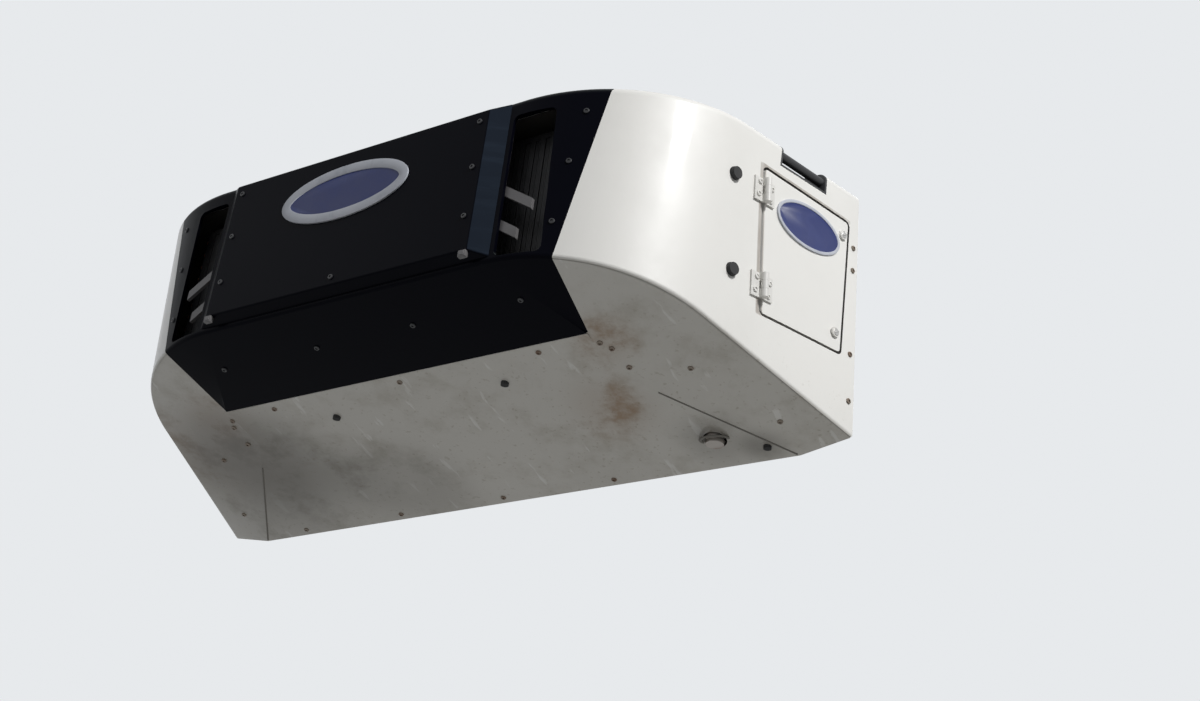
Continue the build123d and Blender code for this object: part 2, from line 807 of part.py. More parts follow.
# Muffler on two straps from the evaporator's front wall, its tail going down through the floor
with BuildPart() as muffler:
    with BuildSketch(Plane.YZ.offset(muffler_x[0])):
        with Locations((muffler_y, muffler_z)):
            Circle(muffler_radius)
    extrude(amount=muffler_x[1] - muffler_x[0])
    with BuildSketch(Plane.YZ.offset(muffler_x[1])):
        with Locations((muffler_y, muffler_z)):
            Circle(tail_radius)
    extrude(amount=tail_x - muffler_x[1])
    with Locations((tail_x, muffler_y, muffler_z)):
        Sphere(tail_radius)
    with BuildSketch(Plane.XY.offset(floor_at(muffler_y) - tail_below)):
        with Locations((tail_x, muffler_y)):
            Circle(tail_radius)
    extrude(amount=muffler_z - floor_at(muffler_y) + tail_below)
    for share in (0.2, 0.8):
        strap_x = muffler_x[0] + share * (muffler_x[1] - muffler_x[0])
        span((strap_x - strap_wide / 2, strap_x + strap_wide / 2), (muffler_y, -evaporator_front - seat),
             (muffler_z - strap_thick, muffler_z + strap_thick))
save(muffler, "muffler")

with BuildPart() as drain_plugs:
    for x, y in drains:
        with BuildSketch(Plane.XY.offset(floor_at(y) - drain_proud)):
            with Locations((x, y)):
                Circle(drain_radius - seat)
        extrude(amount=drain_proud + skin)
save(drain_plugs, "drain_plugs")

# Evaporator section: insulated box with a return opening below and two blower rings behind
box_half = port_half - seat
box_z = (port_z - port_half_height + seat, port_z + port_half_height - seat)
inside_z = (box_z[0] + insulation, box_z[1] - insulation)
blower_plane = Plane(origin=(0, blower_y, port_z), x_dir=(-1, 0, 0), z_dir=(0, 1, 0))
with BuildPart() as evaporator_housing:
    span((-box_half, box_half), (-evaporator_front, evaporator_deep), box_z)
    fillet(evaporator_housing.edges().filter_by(Axis.Y), port_corner)
    span(
        (insulation - box_half, box_half - insulation),
        (insulation - evaporator_front, evaporator_deep - insulation),
        inside_z,
        Mode.SUBTRACT,
    )
    span((-return_half, return_half), return_y, (box_z[0], inside_z[0]), Mode.SUBTRACT)
    with BuildSketch(blower_plane):
        with GridLocations(2 * blower_x, 0, 2, 1):
            Circle(blower_hole)
    extrude(amount=evaporator_deep, mode=Mode.SUBTRACT)
save(evaporator_housing, "evaporator_housing")

held_z = (inside_z[0] + seat, inside_z[1] - seat)
with BuildPart() as evaporator_coil:
    cooler_half = box_half - insulation - running_gap
    add(finned((-cooler_half, cooler_half), cooler_y, held_z, cooler_fins, fin_proud, True))
save(evaporator_coil, "evaporator_coil")

with BuildPart() as return_grille:
    frame_z = (box_z[0], box_z[0] + 2 * grille_bar)
    span((seat - return_half, return_half - seat), (return_y[0] + seat, return_y[1] - seat), frame_z)
    slot = 2 * (return_half - grille_bar) / grille_bars
    for i in range(grille_bars):
        left = grille_bar - return_half + i * slot
        slot_y = (return_y[0] + grille_bar, return_y[1] - grille_bar)
        span((left + grille_bar / 2, left + slot - grille_bar / 2), slot_y, frame_z, Mode.SUBTRACT)
save(return_grille, "return_grille")

# Blower motors on upright straps behind the cooling coil
with BuildPart() as blower_motors:
    for side in (-1, 1):
        x = side * blower_x
        strap_y = (cooler_y[1] + running_gap, cooler_y[1] + running_gap + strap_thick)
        span((x - strap_wide / 2, x + strap_wide / 2), strap_y, held_z)
        motor_start = Plane(origin=(x, strap_y[0], port_z), x_dir=(-1, 0, 0), z_dir=(0, 1, 0))
        with BuildSketch(motor_start):
            Circle(blower_motor_radius)
        extrude(amount=blower_motor_long)
        with BuildSketch(motor_start.offset(blower_motor_long / 2)):
            Circle(shaft_radius + seat)
        extrude(amount=blower_motor_long, mode=Mode.SUBTRACT)
save(blower_motors, "blower_motors")

blower_deep = blower_chord * sin(radians(blade_pitch)) * 0.8
blower_shaft = blower_y - blower_deep / 2 - strap_y[0] - blower_motor_long / 2 - shaft_radius
for side, name in ((-1, "blower_left"), (1, "blower_right")):
    with BuildPart() as blower:
        middle = Plane(origin=(side * blower_x, blower_y, port_z), x_dir=(-1, 0, 0), z_dir=(0, 1, 0))
        add(rotor(middle, blower_hub, blower_deep, blower_radius, blower_blades, blower_chord, blade_pitch, blower_shaft))
    save(blower, name)

with BuildPart() as blower_guards:
    for side in (-1, 1):
        face = Plane(origin=(side * blower_x, evaporator_deep + seat, port_z), x_dir=(-1, 0, 0), z_dir=(0, 1, 0))
        add(wire_guard(face, blower_hole + 3 * guard_bar, guard_rise, guard_step * 0.75, guard_spokes))
save(blower_guards, "blower_guards")
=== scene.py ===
import bpy
import bmesh
from math import pi, radians
from mathutils import Euler, Matrix, Vector


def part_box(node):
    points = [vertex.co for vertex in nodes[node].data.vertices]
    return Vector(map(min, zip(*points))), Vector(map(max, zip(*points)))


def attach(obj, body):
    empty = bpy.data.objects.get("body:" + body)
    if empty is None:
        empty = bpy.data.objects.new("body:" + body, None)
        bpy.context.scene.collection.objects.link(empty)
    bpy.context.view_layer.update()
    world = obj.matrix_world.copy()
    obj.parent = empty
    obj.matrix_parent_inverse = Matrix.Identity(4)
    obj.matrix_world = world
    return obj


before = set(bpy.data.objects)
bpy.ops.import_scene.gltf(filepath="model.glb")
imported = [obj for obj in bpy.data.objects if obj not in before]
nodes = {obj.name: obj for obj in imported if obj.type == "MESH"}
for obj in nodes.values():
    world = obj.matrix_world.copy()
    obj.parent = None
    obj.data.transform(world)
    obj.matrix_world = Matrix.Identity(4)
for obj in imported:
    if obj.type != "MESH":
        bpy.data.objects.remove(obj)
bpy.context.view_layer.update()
print("frame loaded:", len(nodes), "nodes")

sides = (("right", 1), ("left", -1))
rearward, forward, upward, downward = (0, 1, 0), (0, -1, 0), (0, 0, 1), (0, 0, -1)
smoothAngle = radians(35)  # faces that meet flatter than this are shaded as one
mergeGap = 0.00002  # corners of a node's copy that are closer than this become one


# selecting, editing and joining

def deselectAll():
    if bpy.context.object and bpy.context.object.mode != "OBJECT":
        bpy.ops.object.mode_set(mode="OBJECT")
    bpy.ops.object.select_all(action="DESELECT")


def choose(*pieces):  # these alone are selected, and the first is active
    deselectAll()
    for piece in pieces:
        piece.select_set(True)
    bpy.context.view_layer.objects.active = pieces[0]


def editPiece(piece):
    choose(piece)
    bpy.ops.object.mode_set(mode="EDIT")
    bpy.ops.mesh.select_mode(type="FACE")


def leaveEdit():
    bpy.ops.object.mode_set(mode="OBJECT")


def selectAll():
    bpy.ops.mesh.select_all(action="SELECT")


def chooseFaces(test):  # in edit mode, selects the faces that pass the test
    bpy.ops.mesh.select_mode(type="FACE")
    bpy.ops.mesh.select_all(action="DESELECT")
    mesh = bmesh.from_edit_mesh(bpy.context.object.data)
    for face in mesh.faces:
        if test(face):
            face.select_set(True)
    bmesh.update_edit_mesh(bpy.context.object.data)


def extrude(way):
    bpy.ops.mesh.extrude_region_move(TRANSFORM_OT_translate={"value": way})


def faceOutwards():
    selectAll()
    bpy.ops.mesh.normals_make_consistent(inside=False)


def bakePlace(piece):  # leaves the object at the origin, with its place in its mesh
    choose(piece)
    bpy.ops.object.transform_apply(location=True, rotation=True, scale=True)
    return piece


def duplicate(model, place=None):
    one = model.copy()
    one.data = model.data.copy()
    bpy.context.collection.objects.link(one)
    if place is not None:
        one.data.transform(place)
    return one


def joined(parts):
    choose(*parts)
    if len(parts) > 1:
        bpy.ops.object.join()
    return parts[0]


def roundEdges(piece, width, angle=40):
    choose(piece)
    soft = piece.modifiers.new("softEdges", "BEVEL")
    soft.width = width
    soft.segments = 2
    soft.angle_limit = radians(angle)
    bpy.ops.object.modifier_apply(modifier=soft.name)
    bpy.ops.object.shade_smooth_by_angle(angle=smoothAngle)


def dress(parts, name, finish=None, body="unit"):  # joins the parts of a piece and finishes it
    piece = joined(parts)
    piece.name = name
    piece.data.name = name
    if finish:
        piece.data.materials.clear()
        piece.data.materials.append(finishes[finish])
    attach(piece, body)


# places on surfaces and round rings

def standOn(point, outward, along=(1, 0, 0)):  # a matrix whose z leaves the surface
    outward = Vector(outward).normalized()
    along = Vector(along)
    if abs(along.normalized().dot(outward)) > 0.98:  # too near to outward to give a direction
        along = Vector((0, 1, 0))
    across = outward.cross(along).normalized()
    along = across.cross(outward)
    turn = Matrix((along, across, outward)).transposed().to_4x4()
    return Matrix.Translation(Vector(point)) @ turn


def hitOn(name, start, way):  # where a ray meets a CAD node, and the way its surface faces
    found, point, facing, _ = nodes[name].ray_cast(Vector(start), Vector(way).normalized())
    if not found:
        raise ValueError("no surface of " + name + " ahead of " + str(start))
    if facing.dot(Vector(way)) > 0:
        facing = -facing
    return point, facing


def ringOf(place, count, radius, height=0, size=1, start=0):
    return [
        place @ Matrix.Rotation(2 * pi * (step + start) / count, 4, "Z")
        @ Matrix.Translation((radius, 0, height)) @ Matrix.Scale(size, 4)
        for step in range(count)
    ]


# materials: maths on sockets, and the nodes that the finishes share

class Signal:
    def __init__(self, board, socket):
        self.board = board
        self.socket = socket

    def combine(self, operation, other, flipped=False):
        pair = (other, self) if flipped else (self, other)
        return self.board.maths(operation, *pair)

    def __add__(self, other):
        return self.combine("ADD", other)

    def __radd__(self, other):
        return self.combine("ADD", other, True)

    def __sub__(self, other):
        return self.combine("SUBTRACT", other)

    def __rsub__(self, other):
        return self.combine("SUBTRACT", other, True)

    def __mul__(self, other):
        return self.combine("MULTIPLY", other)

    def __rmul__(self, other):
        return self.combine("MULTIPLY", other, True)


class Board:  # a node tree, emptied, that nodes are added to
    def __init__(self, tree):
        self.tree = tree
        self.tree.nodes.clear()

    def add(self, kind, settings, sockets, result=0):
        node = self.tree.nodes.new(kind)
        for key, value in settings.items():
            setattr(node, key, value)
        for key, value in sockets.items():
            self.feed(node.inputs[key], value)
        return Signal(self, node.outputs[result]) if node.outputs else None

    def feed(self, socket, value):
        if isinstance(value, Signal):
            self.tree.links.new(value.socket, socket)
        elif socket.type == "RGBA" and len(value) == 3:
            socket.default_value = (*value, 1)
        else:
            socket.default_value = value

    def maths(self, operation, *values):
        return self.add("ShaderNodeMath", {"operation": operation}, dict(enumerate(values)))

    def ray(self, kind):  # 1 for rays of this kind
        return self.add("ShaderNodeLightPath", {}, {}, kind)


class Finish(Board):
    def __init__(self, name):
        self.material = bpy.data.materials.new(name)
        self.material.use_nodes = True
        super().__init__(self.material.node_tree)
        self.spot = self.add("ShaderNodeTexCoord", {}, {}, "Object")
        self.facing = self.add("ShaderNodeTexCoord", {}, {}, "Normal")

    def noise(self, scale, detail, rough, turn=(0, 0, 0)):  # a scale of three numbers stretches it
        where = self.spot
        if isinstance(scale, tuple):
            where = self.add("ShaderNodeMapping", {}, {"Vector": where, "Scale": scale, "Rotation": turn})
            scale = 1.0
        sockets = {"Vector": where, "Scale": scale, "Detail": detail, "Roughness": rough}
        return self.add("ShaderNodeTexNoise", {}, sockets)

    def mask(self, signal, low, high):  # 0 below low, 1 above high, smooth between
        settings = {"interpolation_type": "SMOOTHSTEP"}
        return self.add("ShaderNodeMapRange", settings, {"Value": signal, "From Min": low, "From Max": high})

    # a recipe is a noise's scale, detail and roughness, the low and high of its mask, and any turn
    def patchesOf(self, recipes):
        return [self.mask(self.noise(*one[:3], *one[5:]), *one[3:5]) for one in recipes.values()]

    def axis(self, which):
        return self.add("ShaderNodeSeparateXYZ", {}, {"Vector": self.spot}, which)

    def turned(self, which):  # how far the surface faces along an axis of the piece at rest
        return self.add("ShaderNodeSeparateXYZ", {}, {"Vector": self.facing}, which)

    def vectors(self, operation, first, second, result=0):
        return self.add("ShaderNodeVectorMath", {"operation": operation}, {0: first, 1: second}, result)

    def tint(self, mask, under, over):
        return self.add("ShaderNodeMix", {"data_type": "RGBA"}, {0: mask, 6: under, 7: over}, 2)

    def bump(self, height, strength, distance):
        sockets = {"Height": height, "Strength": strength, "Distance": distance}
        return self.add("ShaderNodeBump", {}, sockets)

    def close(self, **sockets):  # makes the shader and ends the material
        sockets = {key.replace("_", " "): value for key, value in sockets.items()}
        shader = self.add("ShaderNodeBsdfPrincipled", {}, sockets)
        self.add("ShaderNodeOutputMaterial", {}, {"Surface": shader})
        return self.material


def tabled(columns, rows):  # settings by name, from rows whose columns are named
    return {name: dict(zip(columns.split(), row)) for name, row in rows.items()}


# moulded white skin: chalked gloss, road dirt low down, rusty runs, brown and sooty stains, with painted
# shade under the left side, painted shadow along the door joints and painted shade on the inner faces

doorEdges = {"frontY": -0.285, "frontZ": -0.162, "lean": 0.121, "topZ": 0.202, "slope": 0.076}
housingLook = {
    "clean": (0.8, 0.79, 0.755),
    "chalked": (0.71, 0.7, 0.665),
    "roadDirt": (0.385, 0.35, 0.28),
    "rustRun": (0.3, 0.18, 0.09),
    # colour of soot, and of painted shade under the left side
    "sootAndShadeColour": (0.14, 0.125, 0.1),
    # painted shade on the faces inside the housing
    "innerShade": (0.05, 0.046, 0.042),
    # grime with painted shadow along the door joints
    "jointGrimeAndShadow": (0.3, 0.26, 0.22),
    "middle": (0, -0.33, 0),
    "gloss": 0.4,
    "dull": 0.66,
    "coat": 0.35,
    "patches": {
        "chalk": (2.6, 5, 0.6, 0.42, 0.72),
        "grit": (7.5, 6, 0.68, 0.45, 0.75),
        "specks": (95, 2, 0.5, 0.62, 0.72),
        "runs": ((26, 26, 1.6), 5, 0.62, 0.6, 0.78),
        "scrapes": ((34, 3.2, 34), 3, 0.5, 0.66, 0.72, (0, 0, 0.35)),
        "rusting": (4.2, 3, 0.5, 0.63, 0.74),
        "streaks": ((30, 30, 7), 3, 0.6, 0.3, 0.62),
    },
    "brownStains": [  # middle and reach of each
        ((-0.68, -0.32, -0.27), 0.27),
        ((-0.52, -0.44, -0.24), 0.14),
        ((0.51, -0.43, -0.25), 0.12),
        ((0.42, -0.24, -0.29), 0.17),
    ],
    "sootAndShadeStains": [
        ((0.59, -0.092, -0.32), 0.15),
        ((0.69, -0.044, -0.335), 0.08),
        # these three, under the left side, are painted shade as well as soot
        ((-0.64, -0.18, -0.32), 0.46),
        ((-0.52, -0.3, -0.29), 0.34),
        ((-0.2, -0.12, -0.31), 0.26),
    ],
}


def stainMask(skin, stains):  # soft-edged spots, added up
    spots = []
    for middle, reach in stains:
        away = skin.vectors("DISTANCE", skin.spot, middle, 1)
        spots.append(skin.mask(reach - away, 0.0, reach * 0.8))
    total = spots[0]
    for spot in spots[1:]:
        total = total + spot
    return total


def jointMask(skin):  # a line of grime and painted shadow along the front and top edge of each side door
    edge = doorEdges
    y, z = skin.axis("Y"), skin.axis("Z")
    offFront = skin.maths("ABSOLUTE", y - edge["frontY"] + (z - edge["frontZ"]) * edge["lean"])
    offTop = skin.maths("ABSOLUTE", z - edge["topZ"] - y * edge["slope"])
    nearFront = 1 - skin.mask(offFront, 0.0065, 0.0115)
    nearFront = nearFront * skin.mask(z, edge["frontZ"] - 0.004, edge["frontZ"] + 0.004)
    nearFront = nearFront * (1 - skin.mask(z, 0.176, 0.184))
    nearTop = (1 - skin.mask(offTop, 0.003, 0.007)) * skin.mask(y, -0.334, -0.326)
    nearTop = nearTop * (1 - skin.mask(y, -0.036, -0.024))
    return skin.mask(nearFront + nearTop, 0.0, 1.0)


def makeHousingSkin(name, shadesInside):
    look = housingLook
    skin = Finish(name)
    chalk, grit, specks, runs, scrapes, rusting, streaks = skin.patchesOf(look["patches"])
    under = skin.mask(skin.turned("Z") * -1, 0.25, 0.9)
    low = skin.mask(skin.axis("Z") * -1, 0.12, 0.3)
    dirt = (under * 0.44 + low * 0.12) * (0.7 + grit * 0.45) + specks * low * 0.2
    base = skin.tint(chalk * 0.55, look["clean"], look["chalked"])
    base = skin.tint(skin.mask(dirt - scrapes * under * 0.3, 0.0, 1.0), base, look["roadDirt"])
    rust = rusting * runs * (0.1 + low * 0.5)
    brown = stainMask(skin, look["brownStains"]) * (0.35 + grit * 0.6) * (0.42 + under * 0.5)
    base = skin.tint(skin.mask(rust + brown, 0.0, 1.0), base, look["rustRun"])
    # soot by the outlet and painted shade under the left side, on downward faces
    sootAndShade = stainMask(skin, look["sootAndShadeStains"]) * (0.46 + grit * 0.14) * under
    base = skin.tint(skin.mask(sootAndShade, 0.0, 1.1), base, look["sootAndShadeColour"])
    onSide = skin.mask(skin.maths("ABSOLUTE", skin.turned("X")), 0.5, 0.8)
    # grime and painted shadow along the door joints, on the side faces
    base = skin.tint(jointMask(skin) * onSide * (0.35 + streaks * 0.45), base, look["jointGrimeAndShadow"])
    rough = look["gloss"] + chalk * 0.1 + dirt * (look["dull"] - look["gloss"])
    rough = rough + skin.noise(60, 4, 0.6) * 0.05
    peel = skin.bump(skin.noise(210, 2, 0.5) * 0.4 + skin.noise(9, 2, 0.5), 0.12, 0.0012)
    coat = look["coat"]
    if shadesInside:  # faces that look towards the middle of the housing are darkened with painted shade
        away = skin.vectors("SUBTRACT", skin.spot, look["middle"])
        shadedInside = skin.mask(skin.vectors("DOT_PRODUCT", skin.facing, away, 1) * -1, 0.0, 0.02)
        base = skin.tint(shadedInside, base, look["innerShade"])
        rough = rough + shadedInside * 0.5
        coat = coat * (1 - shadedInside)
    return skin.close(Base_Color=base, Roughness=rough, Normal=peel, Coat_Weight=coat, Coat_Roughness=0.09)


# black moulded front: dust over a fine grain, with a painted sheen on the lit flank of the raised panel and
# painted light with settled dust on upward faces

frontLook = {
    "black": (0.0016, 0.0018, 0.0042),
    # dust colour, also the colour of the painted sheen on the lit flank
    "dust": (0.02, 0.028, 0.042),
    # tone of upward faces: settled dust and painted light from above
    "dustAndTopLight": (0.055, 0.062, 0.06),
    "gloss": 0.34,
    "grain": 320,
    "flankFrom": (0.6795, 0.6805),  # how far forward the raised panel's flanks begin
    "patches": {
        "cloud": (3.4, 6, 0.65, 0.42, 0.8),
        "wiped": ((3, 3, 28), 4, 0.6, 0.48, 0.78),
        "specks": (150, 2, 0.5, 0.67, 0.75),
    },
}


def makeFrontBlack():
    look = frontLook
    black = Finish("frontBlack")
    cloud, wiped, specks = black.patchesOf(look["patches"])
    # painted sheen: the raised panel's flank that faces +X, the lamp side, is made lighter
    litFlankSheen = black.mask(black.turned("X"), 0.3, 0.6) * black.mask(black.axis("Y") * -1, *look["flankFrom"])
    # upward faces get settled dust and a painted lighter tone, as if lit from above
    ledgeDustAndLight = black.mask(black.turned("Z"), 0.06, 0.6)
    # dust here holds real dust and the painted sheen of that flank
    dust = cloud * 0.07 + cloud * wiped * 0.07 + specks * 0.06 + litFlankSheen * (0.6 + wiped * 0.35)
    base = black.tint(black.mask(dust, 0.0, 1.0), look["black"], look["dust"])
    base = black.tint(ledgeDustAndLight * (0.35 + cloud * 0.5), base, look["dustAndTopLight"])
    grain = black.bump(black.noise(look["grain"], 2, 0.5), 0.16, 0.0006)
    rough = look["gloss"] + dust * 0.35
    return black.close(Base_Color=base, Roughness=rough, Normal=grain, Specular_IOR_Level=0.025)


# one recipe for the moulded plastics and rubbers

mouldedLooks = tabled("base worn rough grain depth", {
    "gripPlastic": ((0.018, 0.018, 0.02), (0.07, 0.07, 0.072), 0.48, 380, 0.3),
    "bufferRubber": ((0.02, 0.02, 0.02), (0.085, 0.082, 0.078), 0.78, 160, 0.22),
    "seamBead": ((0.19, 0.18, 0.16), (0.28, 0.26, 0.23), 0.75, 200, 0.25),
    "blackScrew": ((0.006, 0.006, 0.008), (0.035, 0.035, 0.038), 0.42, 300, 0.1),
    "sealRubber": ((0.016, 0.016, 0.016), (0.06, 0.058, 0.055), 0.7, 240, 0.18),
    "soundFoam": ((0.03, 0.03, 0.032), (0.075, 0.074, 0.072), 0.95, 420, 0.55),
    "gasketFoam": ((0.045, 0.045, 0.047), (0.11, 0.11, 0.1), 0.92, 520, 0.6),
    "shroudPlastic": ((0.022, 0.022, 0.024), (0.08, 0.078, 0.074), 0.52, 300, 0.2),
    "fanPlastic": ((0.02, 0.02, 0.021), (0.075, 0.072, 0.068), 0.44, 260, 0.16),
    "cleanerPlastic": ((0.024, 0.024, 0.025), (0.09, 0.088, 0.085), 0.5, 340, 0.2),
    "batteryCase": ((0.028, 0.028, 0.032), (0.11, 0.11, 0.11), 0.46, 280, 0.22),
    "capRed": ((0.42, 0.025, 0.02), (0.3, 0.08, 0.06), 0.42, 260, 0.12),
})
mouldedPatches = {"worn": (11, 5, 0.65, 0.48, 0.8), "specks": (120, 2, 0.5, 0.64, 0.72)}


def makeMoulded(plastic, look):
    worn, specks = plastic.patchesOf(mouldedPatches)
    wear = worn * 0.45 + specks * 0.25
    base = plastic.tint(plastic.mask(wear, 0.0, 1.0), look["base"], look["worn"])
    grain = plastic.bump(plastic.noise(look["grain"], 2, 0.5), look["depth"], 0.0008)
    return plastic.close(Base_Color=base, Roughness=look["rough"] + wear * 0.18, Normal=grain)


# one recipe for painted steel: thin orange peel, chips to rust, oily dust

paintedLooks = tabled("paint chip chips rough dust", {
    "framePaint": ((0.045, 0.046, 0.05), (0.2, 0.095, 0.045), 0.66, 0.42, (0.16, 0.15, 0.13)),
    "motorPaint": ((0.06, 0.062, 0.068), (0.24, 0.23, 0.22), 0.72, 0.38, (0.17, 0.16, 0.14)),
    "guardCoat": ((0.022, 0.022, 0.024), (0.22, 0.11, 0.06), 0.73, 0.45, (0.14, 0.13, 0.12)),
    "tankPaint": ((0.035, 0.036, 0.04), (0.22, 0.12, 0.07), 0.72, 0.34, (0.15, 0.14, 0.12)),
    "controlPaint": ((0.46, 0.47, 0.48), (0.25, 0.2, 0.16), 0.74, 0.4, (0.36, 0.34, 0.3)),
    "hingePaint": ((0.72, 0.71, 0.68), (0.26, 0.17, 0.1), 0.68, 0.34, (0.48, 0.46, 0.41)),
    # dark grey: painted shade, the shade inside the intakes where the bars sit
    "barPaint": ((0.115, 0.11, 0.112), (0.08, 0.06, 0.05), 0.66, 0.5, (0.07, 0.064, 0.058)),
    "evaporatorPaint": ((0.76, 0.77, 0.77), (0.5, 0.49, 0.46), 0.76, 0.36, (0.6, 0.6, 0.58)),
    "filterBlue": ((0.025, 0.075, 0.2), (0.2, 0.18, 0.16), 0.74, 0.34, (0.14, 0.14, 0.13)),
})
paintedPatches = {"film": (6.5, 5, 0.6, 0.42, 0.8)}


def makePainted(paint, look):
    film = paint.patchesOf(paintedPatches)[0]
    chips = paint.mask(paint.noise(38, 5, 0.7), look["chips"], look["chips"] + 0.03)
    base = paint.tint(film * 0.45, look["paint"], look["dust"])
    base = paint.tint(chips, base, look["chip"])
    rough = look["rough"] + film * 0.16 + chips * 0.25
    peel = paint.bump(paint.noise(170, 2, 0.5) * 0.5 - chips * 0.6, 0.16, 0.001)
    return paint.close(Base_Color=base, Roughness=rough, Normal=peel)


# bare metals: drawn or brushed grain, with tarnish

metalLooks = tabled("base tarnish rough grain amount", {
    "fastenerSteel": ((0.52, 0.51, 0.49), (0.24, 0.2, 0.16), 0.34, (60, 60, 60), 0.55),
    "rustyBolt": ((0.2, 0.17, 0.14), (0.17, 0.08, 0.04), 0.55, (60, 60, 60), 0.9),
    "copperTube": ((0.62, 0.3, 0.16), (0.25, 0.15, 0.1), 0.3, (50, 50, 50), 0.5),
    "alternatorShell": ((0.52, 0.52, 0.51), (0.24, 0.23, 0.21), 0.46, (120, 120, 120), 0.5),
    "grilleBars": ((0.6, 0.61, 0.62), (0.38, 0.37, 0.35), 0.3, (240, 30, 30), 0.35),
    "mufflerSteel": ((0.34, 0.31, 0.28), (0.2, 0.1, 0.05), 0.46, (20, 90, 90), 0.85),
})
metalPatches = {"stain": (16, 5, 0.65, 0.46, 0.74)}


def makeMetal(metal, look):
    drawn = metal.noise(look["grain"], 4, 0.6)
    tarnish = metal.patchesOf(metalPatches)[0] * look["amount"]
    base = metal.tint(tarnish, look["base"], look["tarnish"])
    rough = look["rough"] + drawn * 0.12 + tarnish * 0.3
    grain = metal.bump(drawn, 0.1, 0.0006)
    return metal.close(Base_Color=base, Roughness=rough, Metallic=1 - tarnish * 0.75, Normal=grain)


# castings: sand-cast skin with an oil film

castLooks = tabled("base oil rough", {
    "engineCasting": ((0.13, 0.14, 0.15), (0.035, 0.03, 0.025), 0.6),
    "compressorCasting": ((0.19, 0.19, 0.19), (0.05, 0.042, 0.035), 0.62),
    "pulleySteel": ((0.26, 0.25, 0.24), (0.08, 0.06, 0.045), 0.45),
})
castPatches = {"film": (9, 5, 0.65, 0.44, 0.74)}


def makeCast(cast, look):
    film = cast.patchesOf(castPatches)[0]
    base = cast.tint(film * 0.8, look["base"], look["oil"])
    sand = cast.bump(cast.noise(420, 2, 0.5) + cast.noise(60, 3, 0.5) * 0.7, 0.42, 0.0014)
    return cast.close(Base_Color=base, Roughness=look["rough"] - film * 0.22, Metallic=0.35, Normal=sand)


# fins of a coil, a line of slots across its width, the slots darkened with painted shade

finLooks = tabled("base gap dirt pitch metal", {
    # near-black fins: painted shade, the dark of the intakes in front of the coil
    "condenserFins": ((0.03, 0.03, 0.032), (0.006, 0.006, 0.006), (0.042, 0.037, 0.031), 0.0032, 0.4),
    "coolerFins": ((0.62, 0.63, 0.64), (0.1, 0.1, 0.1), (0.42, 0.42, 0.4), 0.004, 0.8),
    "radiatorFins": ((0.05, 0.05, 0.052), (0.01, 0.01, 0.01), (0.14, 0.12, 0.1), 0.0036, 0.2),
})
finPatches = {"dirt": (8, 5, 0.65, 0.46, 0.78), "bent": (34, 3, 0.6, 0.6, 0.7)}


def makeFins(fins, look):
    dirt, bent = fins.patchesOf(finPatches)
    wave = fins.maths("SINE", fins.axis("X") * (2 * pi / look["pitch"]))
    # the dark between the fins is painted shade in the slots
    base = fins.tint(fins.mask(wave, 0.1, 0.9), look["base"], look["gap"])
    base = fins.tint(dirt * 0.55, base, look["dirt"])
    ribs = fins.bump(wave + bent * 0.8, 0.35, 0.0012)
    metallic = look["metal"] - dirt * 0.35
    return fins.close(Base_Color=base, Roughness=0.42 + dirt * 0.25, Metallic=metallic, Normal=ribs)


# bare name plates: pale enamel rim round a plain slate field

plateLooks = tabled("base worn rough", {
    "plateRim": ((0.5, 0.52, 0.57), (0.36, 0.385, 0.43), 0.4),
    "plateField": ((0.022, 0.032, 0.125), (0.036, 0.05, 0.16), 0.4),
})
platePatches = {"sunned": (14, 5, 0.6, 0.42, 0.76), "scuffs": ((40, 40, 9), 3, 0.6, 0.62, 0.72)}


def makePlate(enamel, look):
    sunned, scuffs = enamel.patchesOf(platePatches)
    base = enamel.tint(enamel.mask(sunned * 0.6 + scuffs * 0.3, 0, 1), look["base"], look["worn"])
    peel = enamel.bump(enamel.noise(190, 2, 0.5), 0.08, 0.0006)
    rough = look["rough"] + sunned * 0.14
    return enamel.close(Base_Color=base, Roughness=rough, Normal=peel, Specular_IOR_Level=0.25)


finishes = {
    "housingSkin": makeHousingSkin("housingSkin", True),
    "doorSkin": makeHousingSkin("doorSkin", False),
    "frontBlack": makeFrontBlack(),
}
for looks, maker in (
    (mouldedLooks, makeMoulded),
    (paintedLooks, makePainted),
    (metalLooks, makeMetal),
    (castLooks, makeCast),
    (finLooks, makeFins),
    (plateLooks, makePlate),
):
    for name, look in looks.items():
        finishes[name] = maker(Finish(name), look)

nodeFinishes = {
    "housingSkin": "roof_cover lower_tray side_panel_right side_panel_left",
    "doorSkin": "door_right door_left",
    "frontBlack": "front_insert centre_panel",
    "barPaint": "guard_bars_right guard_bars_left",
    "hingePaint": "door_fittings_right door_fittings_left hinge_brackets_right hinge_brackets_left",
    "bufferRubber": "door_buffers drain_plugs",
    "gripPlastic": "grip_right grip_left",
    "framePaint": "mounting_frame",
    "gasketFoam": "wall_gasket",
    "condenserFins": "condenser_coil",
    "radiatorFins": "radiator",
    "shroudPlastic": "fan_shroud",
    "motorPaint": "fan_motor blower_motors",
    "fanPlastic": "condenser_fan blower_left blower_right",
    "guardCoat": "fan_guard blower_guards",
    "engineCasting": "engine_block",
    "compressorCasting": "compressor",
    "alternatorShell": "alternator",
    "cleanerPlastic": "air_cleaner",
    "batteryCase": "battery",
    "tankPaint": "receiver_tank",
    "controlPaint": "control_box",
    "mufflerSteel": "muffler",
    "evaporatorPaint": "evaporator_housing",
    "coolerFins": "evaporator_coil",
    "grilleBars": "return_grille",
}
for finishName, names in nodeFinishes.items():
    for name in names.split():
        nodes[name].data.materials.clear()
        nodes[name].data.materials.append(finishes[finishName])
print("finishes made:", len(finishes))


